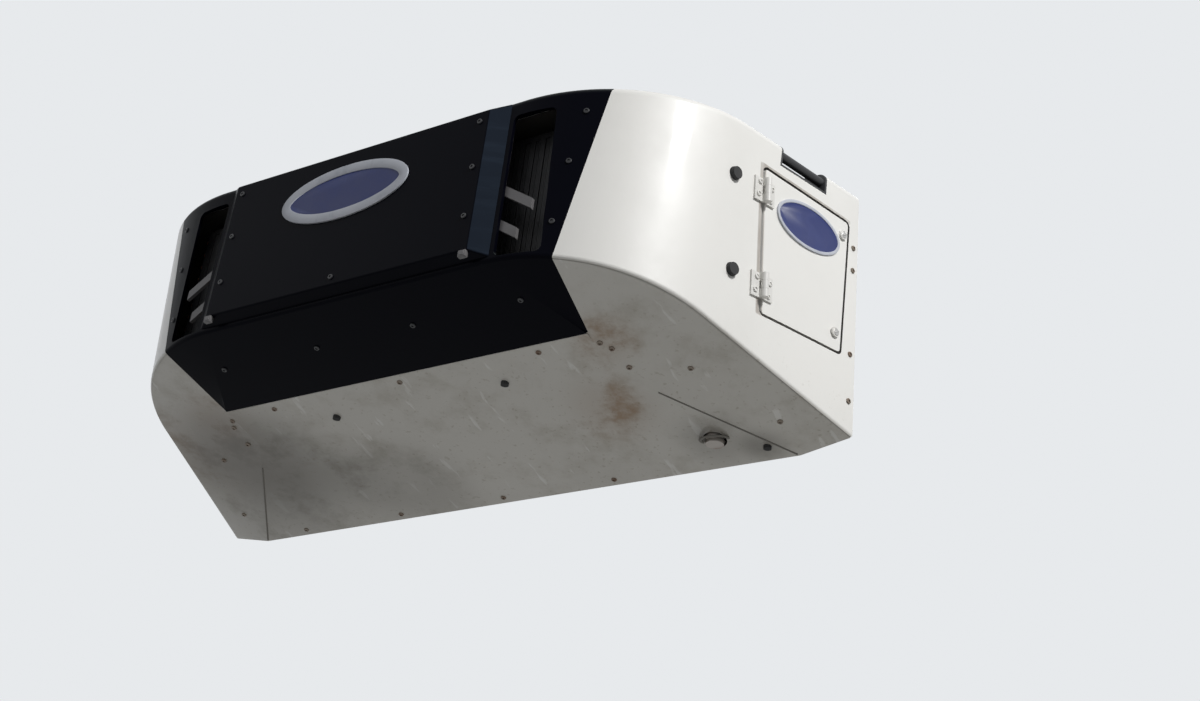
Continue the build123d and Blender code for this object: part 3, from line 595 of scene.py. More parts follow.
# floor, lights and camera

studio = {
    "floorLevel": -1.87,
    "floorSize": 60,
    "floorColour": (0.86, 0.86, 0.85),
    "floorBounce": (0.36, 0.355, 0.34),
    "floorPaleness": 0.62,
    "background": (0.8, 0.82, 0.84),
    "skyColour": (0.9, 0.93, 1.0),
    "skyLevel": 0.17,
    "cameraPlace": (2.0983, -2.7477, -1.8358),
    "cameraTurn": (119.315, -5.794, 31.28),
    "lens": 48.327,
    "lampAim": (0, -0.3, 0),
    "lamps": [
        {"name": "keyLight", "place": (5.1, -1.9, 3.1), "size": 0.9, "power": 300},
        {"name": "frontFill", "place": (-3.4, -4.2, 1.6), "size": 3.2, "power": 18},
        {"name": "backFill", "place": (-0.6, 3.6, 1.8), "size": 3.0, "power": 70},
    ],
}


def makeFloorFinish():  # pale to the camera and in reflections, darker where it lights the part
    matt = Finish("floorMatt")
    direct = matt.ray("Is Camera Ray")
    shade = matt.tint(direct, studio["floorBounce"], studio["floorColour"])
    lit = matt.add("ShaderNodeBsdfPrincipled", {}, {"Base Color": shade, "Roughness": 0.9})
    glow = matt.add("ShaderNodeEmission", {}, {"Color": studio["background"]})
    share = direct * studio["floorPaleness"] + matt.ray("Is Glossy Ray")
    surface = matt.add("ShaderNodeMixShader", {}, {0: share, 1: lit, 2: glow})
    matt.add("ShaderNodeOutputMaterial", {}, {"Surface": surface})
    return matt.material


deselectAll()
bpy.ops.mesh.primitive_plane_add(size=studio["floorSize"], location=(0, 0, studio["floorLevel"]))
floor = bpy.context.object
floor.name = "floor"
floor.data.materials.append(makeFloorFinish())

for lamp in studio["lamps"]:
    bpy.ops.object.light_add(type="AREA", location=lamp["place"])
    light = bpy.context.object
    light.name = lamp["name"]
    light.data.size = lamp["size"]
    light.data.energy = lamp["power"]
    aim = Vector(studio["lampAim"]) - Vector(lamp["place"])
    light.rotation_euler = aim.to_track_quat("-Z", "Y").to_euler()

world = bpy.data.worlds.new("studioSky")
bpy.context.scene.world = world
world.use_nodes = True
sky = Board(world.node_tree)
seen = sky.maths("MAXIMUM", sky.ray("Is Camera Ray"), sky.ray("Is Transmission Ray"))
seen = sky.maths("MAXIMUM", seen, sky.ray("Is Glossy Ray"))
soft = sky.add("ShaderNodeBackground", {}, {"Color": studio["skyColour"], "Strength": studio["skyLevel"]})
shown = sky.add("ShaderNodeBackground", {}, {"Color": studio["background"], "Strength": 1.0})
surface = sky.add("ShaderNodeMixShader", {}, {0: seen, 1: soft, 2: shown})
sky.add("ShaderNodeOutputWorld", {}, {"Surface": surface})

bpy.ops.object.camera_add(location=studio["cameraPlace"])
camera = bpy.context.object
camera.name = "photoCamera"
camera.rotation_euler = Euler([radians(turn) for turn in studio["cameraTurn"]], "XYZ")
camera.data.lens = studio["lens"]
camera.data.sensor_fit = "HORIZONTAL"
camera.data.sensor_width = 36
camera.data.clip_start = 0.05
bpy.context.scene.camera = camera
bpy.context.scene.view_settings.view_transform = "Standard"
print("studio set")


# fasteners: modelled once, copied to their places

panHead = {"radius": 0.0062, "height": 0.0036, "recess": 0.003, "sunk": 0.0018}
boltHead = {"across": 0.009, "height": 0.0062, "washer": 0.0125, "washerHeight": 0.0018}
screwBed = 0.0003  # how deep a fastener sits in its surface


def startDisc(corners, radius, height, base, bevel, segments):  # its top edge bevelled, left in edit mode
    deselectAll()
    bpy.ops.mesh.primitive_cylinder_add(
        vertices=corners, radius=radius, depth=height, location=(0, 0, base + height / 2)
    )
    disc = bpy.context.object
    editPiece(disc)
    chooseFaces(lambda face: face.normal.z > 0.9)
    bpy.ops.mesh.bevel(offset=bevel, segments=segments, affect="EDGES")
    return disc


def modelPanHead(look):
    dome = look["height"] * 0.5
    head = startDisc(20, look["radius"], look["height"], 0, dome, 3)
    chooseFaces(lambda face: face.normal.z > 0.98)
    bpy.ops.mesh.inset(thickness=look["radius"] - look["recess"] - dome)
    extrude((0, 0, -look["sunk"]))
    leaveEdit()
    return bakePlace(head)


def modelBoltHead(look):
    head = startDisc(6, look["across"], look["height"], look["washerHeight"], look["height"] * 0.22, 2)
    leaveEdit()
    washer = startDisc(20, look["washer"], look["washerHeight"], 0, look["washerHeight"] * 0.4, 2)
    leaveEdit()
    return bakePlace(joined([head, washer]))


def fasten(model, places, name, finish="fastenerSteel", body="unit"):  # one piece of many copies
    dress([duplicate(model, place) for place in places], name, finish, body)


def screwsOn(node, name, finish, way, starts, body="unit"):
    places = []
    for start in starts:
        point, facing = hitOn(node, start, way)
        places.append(standOn(point - facing * screwBed, facing))
    fasten(panModel, places, name, finish, body)


panModel = modelPanHead(panHead)
boltModel = modelBoltHead(boltHead)
screwSets = [  # node, name, finish, way of the rays that find the surface, and where they start
    ("centre_panel", "centre_panel_screws", "blackScrew", rearward,
     [(x, -1, z) for x in (-0.33, 0.33) for z in (0.165, 0.05, -0.07)] + [(0, -1, -0.135)]),
    ("front_insert", "front_insert_screws", "blackScrew", rearward,
     [(sign * x, -1, z) for sign in (-1, 1) for x, z in ((0.556, 0.16), (0.532, 0.04), (0.512, -0.1))]),
    ("front_insert", "insert_lip_screws", "blackScrew", downward,
     [(x, -0.645, 1) for x in (-0.46, -0.16, 0.16, 0.46)]),
    ("front_insert", "insert_chin_screws", "blackScrew", upward,
     [(x, -0.575, -1) for x in (-0.4, -0.13, 0.13, 0.4)]),
    ("roof_cover", "roof_cover_screws", "fastenerSteel", downward,
     [(x, y, 1) for x in (-0.57, 0.57) for y in (-0.58, -0.41, -0.23, -0.05)]
     + [(x, -0.022, 1) for x in (-0.36, 0, 0.36)]),
    ("lower_tray", "tray_screws", "rustyBolt", upward,
     [(x, -0.02, -1) for x in (-0.6, -0.3, 0, 0.3)] + [(x, -0.44, -1) for x in (-0.36, 0, 0.36)]
     + [(sign * x, y, -1) for sign in (-1, 1) for x, y in ((0.745, -0.1), (0.64, -0.3))]),
    ("lower_tray", "tray_corner_bolts", "rustyBolt", upward,
     [(sign * x, y, -1) for sign in (-1, 1) for x, y in ((0.5, -0.428), (0.515, -0.405), (0.522, -0.345))]),
]
for side, sign in sides:
    spots = [(sign * 2, -0.016, z) for z in (0.14, 0.082, -0.128, -0.24)]
    screwSets.append(("side_panel_" + side, "edge_bolts_" + side, "rustyBolt", (-sign, 0, 0), spots))
frameSpots = [(x, 1, -0.075) for x in (-0.64, 0.64)]
screwSets.append(("mounting_frame", "frame_screws", "fastenerSteel", forward, frameSpots))
for screwSet in screwSets:
    screwsOn(*screwSet)
print("fasteners set")


# bare oval plates: rim with a sunk field

plateForm = {"thick": 0.0042, "sunk": 0.0012, "edge": 0.0012, "step": 0.0006, "bed": 0.0006}
ovalPlates = [
    {
        "name": "front_plate", "half": (0.174, 0.07), "rim": 0.023, "body": "unit",
        "node": "centre_panel", "from": (-0.014, -1.2, 0.084), "way": rearward, "along": (1, 0, 0),
    },
]
for side, sign in sides:
    ovalPlates.append({
        "name": "door_plate_" + side, "half": (0.106, 0.053), "rim": 0.007, "body": side + "_door",
        "node": "door_" + side, "from": (sign * 2, -0.168, 0.109), "way": (-sign, 0, 0),
        "along": (0, sign, sign * 0.13),
    })


def makeOvalPlate(plate):
    form = plateForm
    deselectAll()
    bpy.ops.mesh.primitive_circle_add(vertices=72, radius=1, fill_type="NGON")
    oval = bpy.context.object
    editPiece(oval)
    selectAll()
    bpy.ops.transform.resize(value=(*plate["half"], 1))
    extrude((0, 0, form["thick"]))
    bpy.ops.mesh.inset(thickness=plate["rim"])
    extrude((0, 0, -form["sunk"]))
    bpy.ops.mesh.inset(thickness=form["step"])
    leaveEdit()
    oval.data.materials.append(finishes["plateRim"])
    oval.data.materials.append(finishes["plateField"])
    editPiece(oval)
    faceOutwards()
    level = form["thick"] - form["sunk"]
    chooseFaces(lambda face: face.normal.z > 0.9 and abs(face.calc_center_median().z - level) < 1e-5)
    oval.active_material_index = 1
    bpy.ops.object.material_slot_assign()
    leaveEdit()
    roundEdges(oval, form["edge"], 50)
    point, facing = hitOn(plate["node"], plate["from"], plate["way"])
    oval.data.transform(standOn(point - facing * form["bed"], facing, plate["along"]))
    dress([oval], plate["name"], body=plate["body"])


for plate in ovalPlates:
    makeOvalPlate(plate)
print("plates set")


# rubber seal behind the edge of each door, bedded on the jamb

doorSeal = {"reach": 0.01, "inward": 0.0105, "thick": 0.006}


def startDoorFace(side, unwanted):  # copy of a door without the faces that pass the test, left in edit mode
    skin = duplicate(nodes["door_" + side])
    editPiece(skin)
    selectAll()
    bpy.ops.mesh.remove_doubles(threshold=mergeGap)
    chooseFaces(unwanted)
    bpy.ops.mesh.delete(type="FACE")
    return skin


def makeDoorSeal(side, sign):
    seal = startDoorFace(side, lambda face: face.normal.x * sign < 0.6)
    mesh = bmesh.from_edit_mesh(seal.data)
    middle = sum((vert.co for vert in mesh.verts), Vector()) / len(mesh.verts)
    patch = len(mesh.faces)
    low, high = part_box("door_" + side)
    size = high - low
    grow = 2 * doorSeal["reach"]
    selectAll()
    bpy.ops.mesh.region_to_loop()
    bpy.ops.mesh.extrude_edges_move()
    bpy.ops.transform.resize(value=(1, 1 + grow / size.y, 1 + grow / size.z), center_override=middle)
    bmesh.from_edit_mesh(seal.data).faces.index_update()
    chooseFaces(lambda face: face.index < patch)  # the patch goes, and the strip round it stays
    bpy.ops.mesh.delete(type="FACE")
    selectAll()
    bpy.ops.transform.translate(value=(-sign * doorSeal["inward"], 0, 0))
    bpy.ops.mesh.normals_make_consistent(inside=False)
    extrude((-sign * doorSeal["thick"], 0, 0))
    faceOutwards()
    leaveEdit()
    dress([seal], "door_seal_" + side, "sealRubber")


for side, sign in sides:
    makeDoorSeal(side, sign)
print("door seals set")


# starts that the pieces below share

def startBlock(low, high, soft=0.002):  # block between two corners, its edges rounded
    deselectAll()
    low, high = Vector(low), Vector(high)
    bpy.ops.mesh.primitive_cube_add(size=1, location=(low + high) / 2)
    block = bpy.context.object
    block.scale = high - low
    bakePlace(block)
    if soft:
        roundEdges(block, soft)
    return block


def startCover(low, high, way, rim, lift, soft=0.0015):  # block with a raised or sunk field on one side
    cover = startBlock(low, high, 0)
    way = Vector(way)
    editPiece(cover)
    chooseFaces(lambda face: face.normal.dot(way) > 0.9)
    bpy.ops.mesh.inset(thickness=rim)
    extrude(way * lift)
    bpy.ops.mesh.inset(thickness=abs(lift) * 0.5)
    leaveEdit()
    roundEdges(cover, soft)
    return cover


def startTurned(rings, place, corners=24):  # rings of (radius, height), upright on a spot or set by a matrix
    if isinstance(place, tuple):
        place = standOn(place, upward)
    deselectAll()
    radius, height = rings[0]
    bpy.ops.mesh.primitive_circle_add(
        vertices=corners, radius=radius, fill_type="NGON", location=(0, 0, height)
    )
    turned = bpy.context.object
    bakePlace(turned)
    editPiece(turned)
    selectAll()
    for nextRadius, nextHeight in rings[1:]:
        extrude((0, 0, nextHeight - height))
        bpy.ops.transform.resize(value=(nextRadius / radius, nextRadius / radius, 1))
        radius, height = nextRadius, nextHeight
    faceOutwards()
    leaveEdit()
    bpy.ops.object.shade_smooth_by_angle(angle=smoothAngle)
    turned.data.transform(place)
    return turned


def startRod(start, end, radius, corners):
    start, end = Vector(start), Vector(end)
    run = (end - start).length
    lip = radius * 0.15
    rings = [(radius - lip, 0), (radius, lip), (radius, run - lip), (radius - lip, run)]
    return startTurned(rings, standOn(start, end - start), corners)


def startPipe(points, radius):  # rigid pipe bent through its points
    route = bpy.data.curves.new("pipeRoute", "CURVE")
    route.dimensions = "3D"
    route.bevel_depth = radius
    route.bevel_resolution = 4
    route.use_fill_caps = True
    run = route.splines.new("NURBS")
    run.points.add(len(points) - 1)
    for spot, point in zip(run.points, points):
        spot.co = (*point, 1)
    run.order_u = 3
    run.use_endpoint_u = True
    pipe = bpy.data.objects.new("pipe", route)
    bpy.context.collection.objects.link(pipe)
    choose(pipe)
    bpy.ops.object.convert(target="MESH")
    pipe = bpy.context.object
    editPiece(pipe)
    selectAll()
    bpy.ops.mesh.remove_doubles(threshold=mergeGap / 2)
    bpy.ops.mesh.normals_make_consistent(inside=False)
    leaveEdit()
    bpy.ops.object.shade_smooth_by_angle(angle=smoothAngle)
    return pipe


def dressTurned(name, finish, rings, places, corners=24):  # one piece of like turned parts
    dress([startTurned(rings, place, corners) for place in places], name, finish)


def dressPipe(name, points, radius):
    dress([startPipe(points, radius)], name, "copperTube")


def bandRings(inner, outer, lip, wide):
    return [(inner, 0), (outer, lip), (outer, wide - lip), (inner, wide)]


# clips at the lower corners of the centre panel, and the dark bead along each fold of the tray

frontClip = {"x": (0.332, 0.35), "y": (-0.7085, -0.698), "z": (-0.169, -0.1545), "rim": 0.003, "lift": 0.0014}
trayFold = {"front": (0.545, -0.262, -0.2843), "rear": (0.741, -0.005, -0.3389), "radius": 0.002}

for side, sign in sides:
    clip, fold = frontClip, trayFold
    low, high = zip(sorted(sign * x for x in clip["x"]), clip["y"], clip["z"])
    cover = startCover(low, high, forward, clip["rim"], clip["lift"])
    # the clips share the bars' paint, darkened with painted shade
    dress([cover], "panel_clip_" + side, "barPaint")
    front, rear = ((sign * fold[end][0], *fold[end][1:]) for end in ("front", "rear"))
    bead = startRod(front, rear, fold["radius"], 10)
    dress([bead], "tray_bead_" + side, "seamBead")
print("front clips and tray beads set")


# screws of the hinges and turn slots of the latches

hingeSpots = {"marks": [(-0.2894, -0.1002), (-0.3156, 0.1157)], "leaf": 0.0185, "up": 0.015}
latchSpots = {
    "places": [(-0.068, -0.0992), (-0.056, 0.1518)],
    "bed": 0.0004,
    "dial": [(0.0082, 0), (0.0082, 0.0012), (0.007, 0.0022)],
    "slotLow": (-0.00675, -0.0015, 0.0015),
    "slotHigh": (0.00675, 0.0015, 0.0038),
    "slotTurn": (0, 1, 0.6),
}

for side, sign in sides:
    inward = (-sign, 0, 0)
    for node, way, body in (("hinge_brackets_", -1, "unit"), ("door_fittings_", 1, side + "_door")):
        spots = [
            (sign * 2, y + way * hingeSpots["leaf"], z + up)
            for y, z in hingeSpots["marks"] for up in (-hingeSpots["up"], hingeSpots["up"])
        ]
        screwsOn(node + side, node + "screws_" + side, "hingePaint", inward, spots, body)
    dials = []
    for y, z in latchSpots["places"]:
        point, facing = hitOn("door_fittings_" + side, (sign * 2, y, z), inward)
        place = standOn(point - facing * latchSpots["bed"], facing, latchSpots["slotTurn"])
        dials.append(startTurned(latchSpots["dial"], place))
        bar = startBlock(latchSpots["slotLow"], latchSpots["slotHigh"], 0.0006)
        bar.data.transform(place)
        dials.append(bar)
    dress(dials, "latch_dials_" + side, "fastenerSteel", side + "_door")
print("door hardware set")


# quilted sound pad on the inner face of each door

doorPad = {
    "front": 0.064, "rear": 0.034, "top": 0.038, "low": 0.054,
    "lift": 0.0004, "thick": 0.006, "channel": 0.0016, "rows": 3,
}


def makeDoorPad(side, sign):
    look = doorPad
    lean, slope = doorEdges["lean"], doorEdges["slope"]
    low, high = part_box("door_" + side)
    pad = startDoorFace(side, lambda face: face.normal.x * sign > -0.6)
    cuts = [  # a point of each edge, and the way that is cut off
        ((0, low.y + look["front"], 0), (0, -1, -lean)),
        ((0, high.y - look["rear"], 0), (0, 1, 0)),
        ((0, high.y, high.z - look["top"]), (0, -slope, 1)),
        ((0, high.y, low.z + look["low"]), (0, slope, -1)),
    ]
    for place, way in cuts:
        selectAll()
        bpy.ops.mesh.bisect(plane_co=place, plane_no=way, clear_outer=True)
    span = high.z - low.z
    for row in range(1, look["rows"] + 1):
        level = low.z + span * row / (look["rows"] + 1)
        selectAll()
        bpy.ops.mesh.bisect(plane_co=(0, 0, level), plane_no=(0, -slope, 1))
    selectAll()
    bpy.ops.transform.translate(value=(-sign * look["lift"], 0, 0))
    extrude((-sign * look["thick"], 0, 0))
    faceOutwards()
    leaveEdit()
    roundEdges(pad, look["channel"], 50)
    dress([pad], "door_pad_" + side, "soundFoam", side + "_door")


for side, sign in sides:
    makeDoorPad(side, sign)
print("door pads set")


# clips that hold the wire guards down, modelled once

guardClip = {"wide": 0.01, "over": 0.013, "foot": 0.02, "thick": 0.002, "top": 0.0193, "soft": 0.0006}
clipLeg = (0.0012, 0.0035)  # how far in and out the upright part of a clip reaches
roofTilt = (0, -0.108, 1)
fanCentre = (0, -0.322, 0.292 - 0.322 * 0.108)
blowers = {"x": 0.27, "z": 0.062, "hub": 0.306, "guard": 0.3603}
guardRings = [
    {"name": "fan_guard_clips", "centre": fanCentre, "facing": roofTilt, "radius": 0.236, "count": 6},
]
hubCaps = [
    {"body": "fan_rotor", "centre": fanCentre, "facing": roofTilt, "lift": -0.0236, "radius": 0.052},
]
for side, sign in reversed(sides):
    guard, hub = ((sign * blowers["x"], blowers[part], blowers["z"]) for part in ("guard", "hub"))
    name = "blower_guard_clips_" + side
    guardRings.append({"name": name, "centre": guard, "facing": rearward, "radius": 0.153, "count": 4})
    name = side + "_blower"
    hubCaps.append({"body": name, "centre": hub, "facing": rearward, "lift": 0.016, "radius": 0.036})


def modelGuardClip(look):
    wide, thick, top, soft = look["wide"], look["thick"], look["top"], look["soft"]
    near, far = clipLeg
    cap = startBlock((-look["over"], -wide, top - thick), (far, wide, top), soft)
    leg = startBlock((near, -wide, -0.0003), (far, wide, top - 0.0004), soft)
    foot = startBlock((near + 0.0002, -wide, -0.0003), (look["foot"], wide, thick), soft)
    screwPlace = Matrix.Translation((look["foot"] * 0.6, 0, thick - 0.0002)) @ Matrix.Scale(0.8, 4)
    return joined([cap, leg, foot, duplicate(panModel, screwPlace)])


clipModel = modelGuardClip(guardClip)
for ring in guardRings:
    places = ringOf(standOn(ring["centre"], ring["facing"]), ring["count"], ring["radius"], start=0.5)
    fasten(clipModel, places, ring["name"])
bpy.data.objects.remove(clipModel, do_unlink=True)
print("guard clips set")


# hub caps of the three fans, with their bolts

hubRings = [(1, -0.002), (1, 0.002), (0.94, 0.0035), (0.55, 0.004), (0.48, 0.0075), (0.2, 0.0085)]
hubBolts = {"count": 5, "out": 0.76, "height": 0.0034, "size": 0.6}

for cap in hubCaps:
    radius, facing = cap["radius"], Vector(cap["facing"])
    place = standOn(Vector(cap["centre"]) + facing.normalized() * cap["lift"], facing)
    turned = startTurned([(radius * share, height) for share, height in hubRings], place, 40)
    dress([turned], cap["body"] + "_hub_cap", "fanPlastic", cap["body"])
    places = ringOf(place, hubBolts["count"], radius * hubBolts["out"], hubBolts["height"], hubBolts["size"])
    fasten(boltModel, places, cap["body"] + "_hub_bolts", body=cap["body"])
print("hub caps set")


# condenser: copper return bends beyond both headers, and the cap of the radiator

coilBends = {"x": 0.5185, "reach": 0.015, "y": (-0.603, -0.579), "low": -0.125, "step": 0.034, "count": 9}
bendRadius = 0.0045
radiatorCap = [(0.018, 0), (0.018, 0.008), (0.026, 0.009), (0.026, 0.016), (0.022, 0.019), (0.008, 0.02)]

for side, sign in sides:
    near, out = sign * coilBends["x"], sign * (coilBends["x"] + coilBends["reach"])
    front, rear = coilBends["y"]
    bends = []
    for row in range(coilBends["count"]):
        z = coilBends["low"] + row * coilBends["step"]
        spots = [(near, front, z), (out, front, z), (out, rear, z), (near, rear, z)]
        bends.append(startPipe(spots, bendRadius))
    dress(bends, "coil_bends_" + side, "copperTube")
dressTurned("radiator_cap", "alternatorShell", radiatorCap, [(0.308, -0.545, 0.1175)])
print("coil ends set")


# engine: rocker cover, sump flange, manifold, bolts, filler cap, oil filter and crank pulley
# a cover is its two corners, the side with its field, the rim, the lift and the edge

engineDress = {
    "rocker": ((-0.215, -0.262, 0.03), (0.165, -0.13, 0.058), upward, 0.014, 0.008, 0.004),
    "manifold": ((-0.2, -0.404, -0.04), (0.15, -0.388, 0.012), forward, 0.01, 0.006, 0.003),
    "sumpFlange": ((-0.266, -0.394, -0.15), (0.212, -0.056, -0.142), 0.0015),
    "headBolts": [(x, y, 0.0575) for x in (-0.205, -0.085, 0.035, 0.155) for y in (-0.254, -0.138)],
    "faceBolts": [(x, -0.4035, z) for x in (-0.19, -0.025, 0.14) for z in (-0.034, 0.006)],
    "filler": [(0.02, 0), (0.02, 0.006), (0.015, 0.007), (0.015, 0.012), (0.006, 0.013)],
    "filter": [(0.026, 0), (0.036, 0.003), (0.038, 0.008), (0.038, 0.088), (0.034, 0.096), (0.018, 0.098)],
    "pulley": [
        (0.045, 0), (0.066, 0.004), (0.066, 0.007), (0.057, 0.013), (0.066, 0.019), (0.066, 0.022),
        (0.03, 0.023), (0.026, 0.034), (0.012, 0.036),
    ],
}
look = engineDress
covers = [startCover(*look["rocker"]), startBlock(*look["sumpFlange"]), startCover(*look["manifold"])]
dress(covers, "engine_covers", "compressorCasting")
boltPlaces = [standOn(spot, upward) for spot in look["headBolts"]]
boltPlaces += [standOn(spot, forward) for spot in look["faceBolts"]]
fasten(boltModel, boltPlaces, "engine_bolts")
dressTurned("filler_cap", "cleanerPlastic", look["filler"], [(0.105, -0.196, 0.0655)])
dressTurned("oil_filter", "filterBlue", look["filter"], [standOn((0.12, -0.389, -0.095), forward)], 32)
crank = standOn((-0.2615, -0.225, -0.1), (-1, 0, 0))
dressTurned("crank_pulley", "pulleySteel", look["pulley"], [crank], 40)
print("engine dressed")


# battery: lid with its vents, hold-down and the caps of its posts

batteryDress = {
    "lid": ((0.3265, -0.3905, 0.018), (0.5315, -0.2095, 0.0445), upward, 0.012, -0.0025, 0.0025),
    "vent": [(0.009, 0), (0.009, 0.003), (0.005, 0.0045)],
    "vents": [(x, -0.262, 0.0415) for x in (0.375, 0.411, 0.447, 0.483)],
    "strap": ((0.322, -0.352, 0.0445), (0.536, -0.334, 0.049), upward, 0.004, 0.0015, 0.001),
    "postCap": [(0.0155, 0), (0.0165, 0.002), (0.016, 0.014), (0.011, 0.0185), (0.004, 0.0195)],
}
look = batteryDress
lid = startCover(*look["lid"])
vents = [startTurned(look["vent"], spot, 20) for spot in look["vents"]]
dress([lid] + vents, "battery_lid", "batteryCase")
dress([startCover(*look["strap"])], "battery_strap", "framePaint")
for name, x, finish in (("battery_cap_red", 0.359, "capRed"), ("battery_cap_black", 0.499, "sealRubber")):
    dressTurned(name, finish, look["postCap"], [(x, -0.3, 0.0415)])
print("battery dressed")


# control box: outer and front cover with their screws, and cable glands below

boxLow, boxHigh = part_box("control_box")
boxDress = {
    "outer": (
        (boxHigh.x - 0.003, boxLow.y + 0.006, boxLow.z + 0.006),
        (boxHigh.x + 0.003, boxHigh.y - 0.006, boxHigh.z - 0.006), (1, 0, 0), 0.012, 0.002,
    ),
    "front": (
        (boxLow.x + 0.012, boxLow.y - 0.004, boxLow.z + 0.02),
        (boxHigh.x - 0.012, boxLow.y + 0.003, boxHigh.z - 0.02), forward, 0.01, 0.003,
    ),
    "gland": [(0.011, 0), (0.011, 0.006), (0.0085, 0.007), (0.0085, 0.014), (0.0045, 0.017), (0.004, 0.026)],
    "glands": (boxLow.x + 0.035, (boxLow.x + boxHigh.x) / 2, boxHigh.x - 0.035),
    "screws": [
        (x, z) for x in (boxLow.x + 0.018, boxHigh.x - 0.018) for z in (boxLow.z + 0.027, boxHigh.z - 0.027)
    ],
}
look = boxDress
covers = [startCover(*look["outer"]), startCover(*look["front"])]
dress(covers, "control_covers", "controlPaint")
boxMiddle = (boxLow.y + boxHigh.y) / 2
glandPlaces = [standOn((x, boxMiddle, boxLow.z + 0.0005), downward) for x in look["glands"]]
dressTurned("control_glands", "cleanerPlastic", look["gland"], glandPlaces, 20)
fasten(panModel, [standOn((x, boxLow.y - 0.0038, z), forward) for x, z in look["screws"]], "control_screws")
print("control box dressed")


# receiver: bands, top valve and its pipe to the condenser header

receiver = {
    "bands": [(0.47, -0.49, z) for z in (-0.105, 0.045)],
    "valve": [(0.012, 0), (0.012, 0.01), (0.009, 0.011), (0.009, 0.022), (0.004, 0.024)],
    "liquidRun": [
        (0.47, -0.49, 0.118), (0.47, -0.49, 0.138), (0.47, -0.545, 0.145),
        (0.512, -0.566, 0.12), (0.512, -0.571, 0.085),
    ],
}
bandForm = bandRings(0.0498, 0.0515, 0.001, 0.016)
dressTurned("receiver_bands", "fastenerSteel", bandForm, receiver["bands"], 40)
dressTurned("receiver_valve", "pulleySteel", receiver["valve"], [(0.47, -0.49, 0.1015)], 6)
dressPipe("liquid_pipe", receiver["liquidRun"], 0.0055)


# compressor: heads, end cover, bolts and its two pipes

compressor = {
    "rows": (-0.25, -0.15),
    "headHalf": 0.0425,
    "end": (-0.5188, -0.2, -0.088),
    "endCover": [(0.048, 0), (0.048, 0.006), (0.04, 0.009), (0.018, 0.01), (0.016, 0.016), (0.006, 0.017)],
    "suctionRun": [
        (-0.424, -0.2, -0.032), (-0.424, -0.2, 0.03), (-0.424, -0.2, 0.085),
        (-0.424, -0.11, 0.105), (-0.424, -0.06, 0.105), (-0.424, -0.026, 0.105),
    ],
    "hotRun": [
        (-0.5, -0.25, -0.06), (-0.532, -0.25, -0.06), (-0.545, -0.29, -0.04), (-0.545, -0.4, 0.01),
        (-0.54, -0.52, 0.08), (-0.512, -0.566, 0.11), (-0.512, -0.571, 0.12),
    ],
}
look = compressor
heads = []
for y in look["rows"]:
    front, rear = y - look["headHalf"], y + look["headHalf"]
    heads.append(startCover((-0.466, front, 0.03), (-0.382, rear, 0.042), upward, 0.014, 0.003, 0.002))
endPlace = standOn(look["end"], (-1, 0, 0))
endCover = startTurned(look["endCover"], endPlace, 36)
dress(heads + [endCover], "compressor_covers", "engineCasting")
boltPlaces = [
    standOn((x, y + off, 0.0415), upward)
    for x in (-0.458, -0.39) for y in look["rows"] for off in (-0.034, 0.034)
]
fasten(boltModel, boltPlaces + ringOf(endPlace, 6, 0.042, 0.006, 0.6), "compressor_bolts")
dressPipe("suction_pipe", look["suctionRun"], 0.011)
dressPipe("hot_gas_pipe", look["hotRun"], 0.0075)


# alternator: pulley and shell bands

alternator = {
    "pulleyEnd": (-0.4928, -0.372, -0.0697),
    "pulley": [
        (0.022, 0), (0.036, 0.002), (0.036, 0.004), (0.03, 0.009), (0.036, 0.014), (0.036, 0.016),
        (0.014, 0.017), (0.012, 0.024), (0.006, 0.025),
    ],
    "bands": [(x, -0.372, -0.0697) for x in (-0.478, -0.392)],
}
look = alternator
dressTurned("alternator_pulley", "pulleySteel", look["pulley"], [standOn(look["pulleyEnd"], (-1, 0, 0))], 36)
bandForm = bandRings(0.0618, 0.064, 0.002, 0.012)
bandPlaces = [standOn(spot, (1, 0, 0)) for spot in look["bands"]]
dressTurned("alternator_bands", "alternatorShell", bandForm, bandPlaces, 48)


# air cleaner: clamp, lid and the elbow to the engine

cleaner = {
    "clampSpot": (-0.47, -0.499, 0.034),
    "lid": [(0.04, 0), (0.04, 0.004), (0.03, 0.008), (0.008, 0.01)],
    "lidSpot": (-0.47, -0.499, 0.0815),
    "airRun": [
        (-0.425, -0.499, 0), (-0.39, -0.495, 0.004), (-0.33, -0.47, 0.02),
        (-0.26, -0.43, 0.01), (-0.19, -0.41, -0.012), (-0.19, -0.392, -0.014),
    ],
}
look = cleaner
bandForm = bandRings(0.0558, 0.0578, 0.001, 0.012)
dressTurned("cleaner_clamp", "fastenerSteel", bandForm, [look["clampSpot"]], 48)
dressTurned("cleaner_lid", "cleanerPlastic", look["lid"], [look["lidSpot"]], 36)
dress([startPipe(look["airRun"], 0.02)], "intake_elbow", "sealRubber")
print("machinery dressed")


# muffler: bands, and the ring round its outlet

bandForm = bandRings(0.0498, 0.052, 0.001, 0.014)
bandPlaces = [standOn((x, -0.092, 0.096), (1, 0, 0)) for x in (0.25, 0.2935, 0.4435, 0.486)]
dressTurned("muffler_bands", "mufflerSteel", bandForm, bandPlaces, 44)

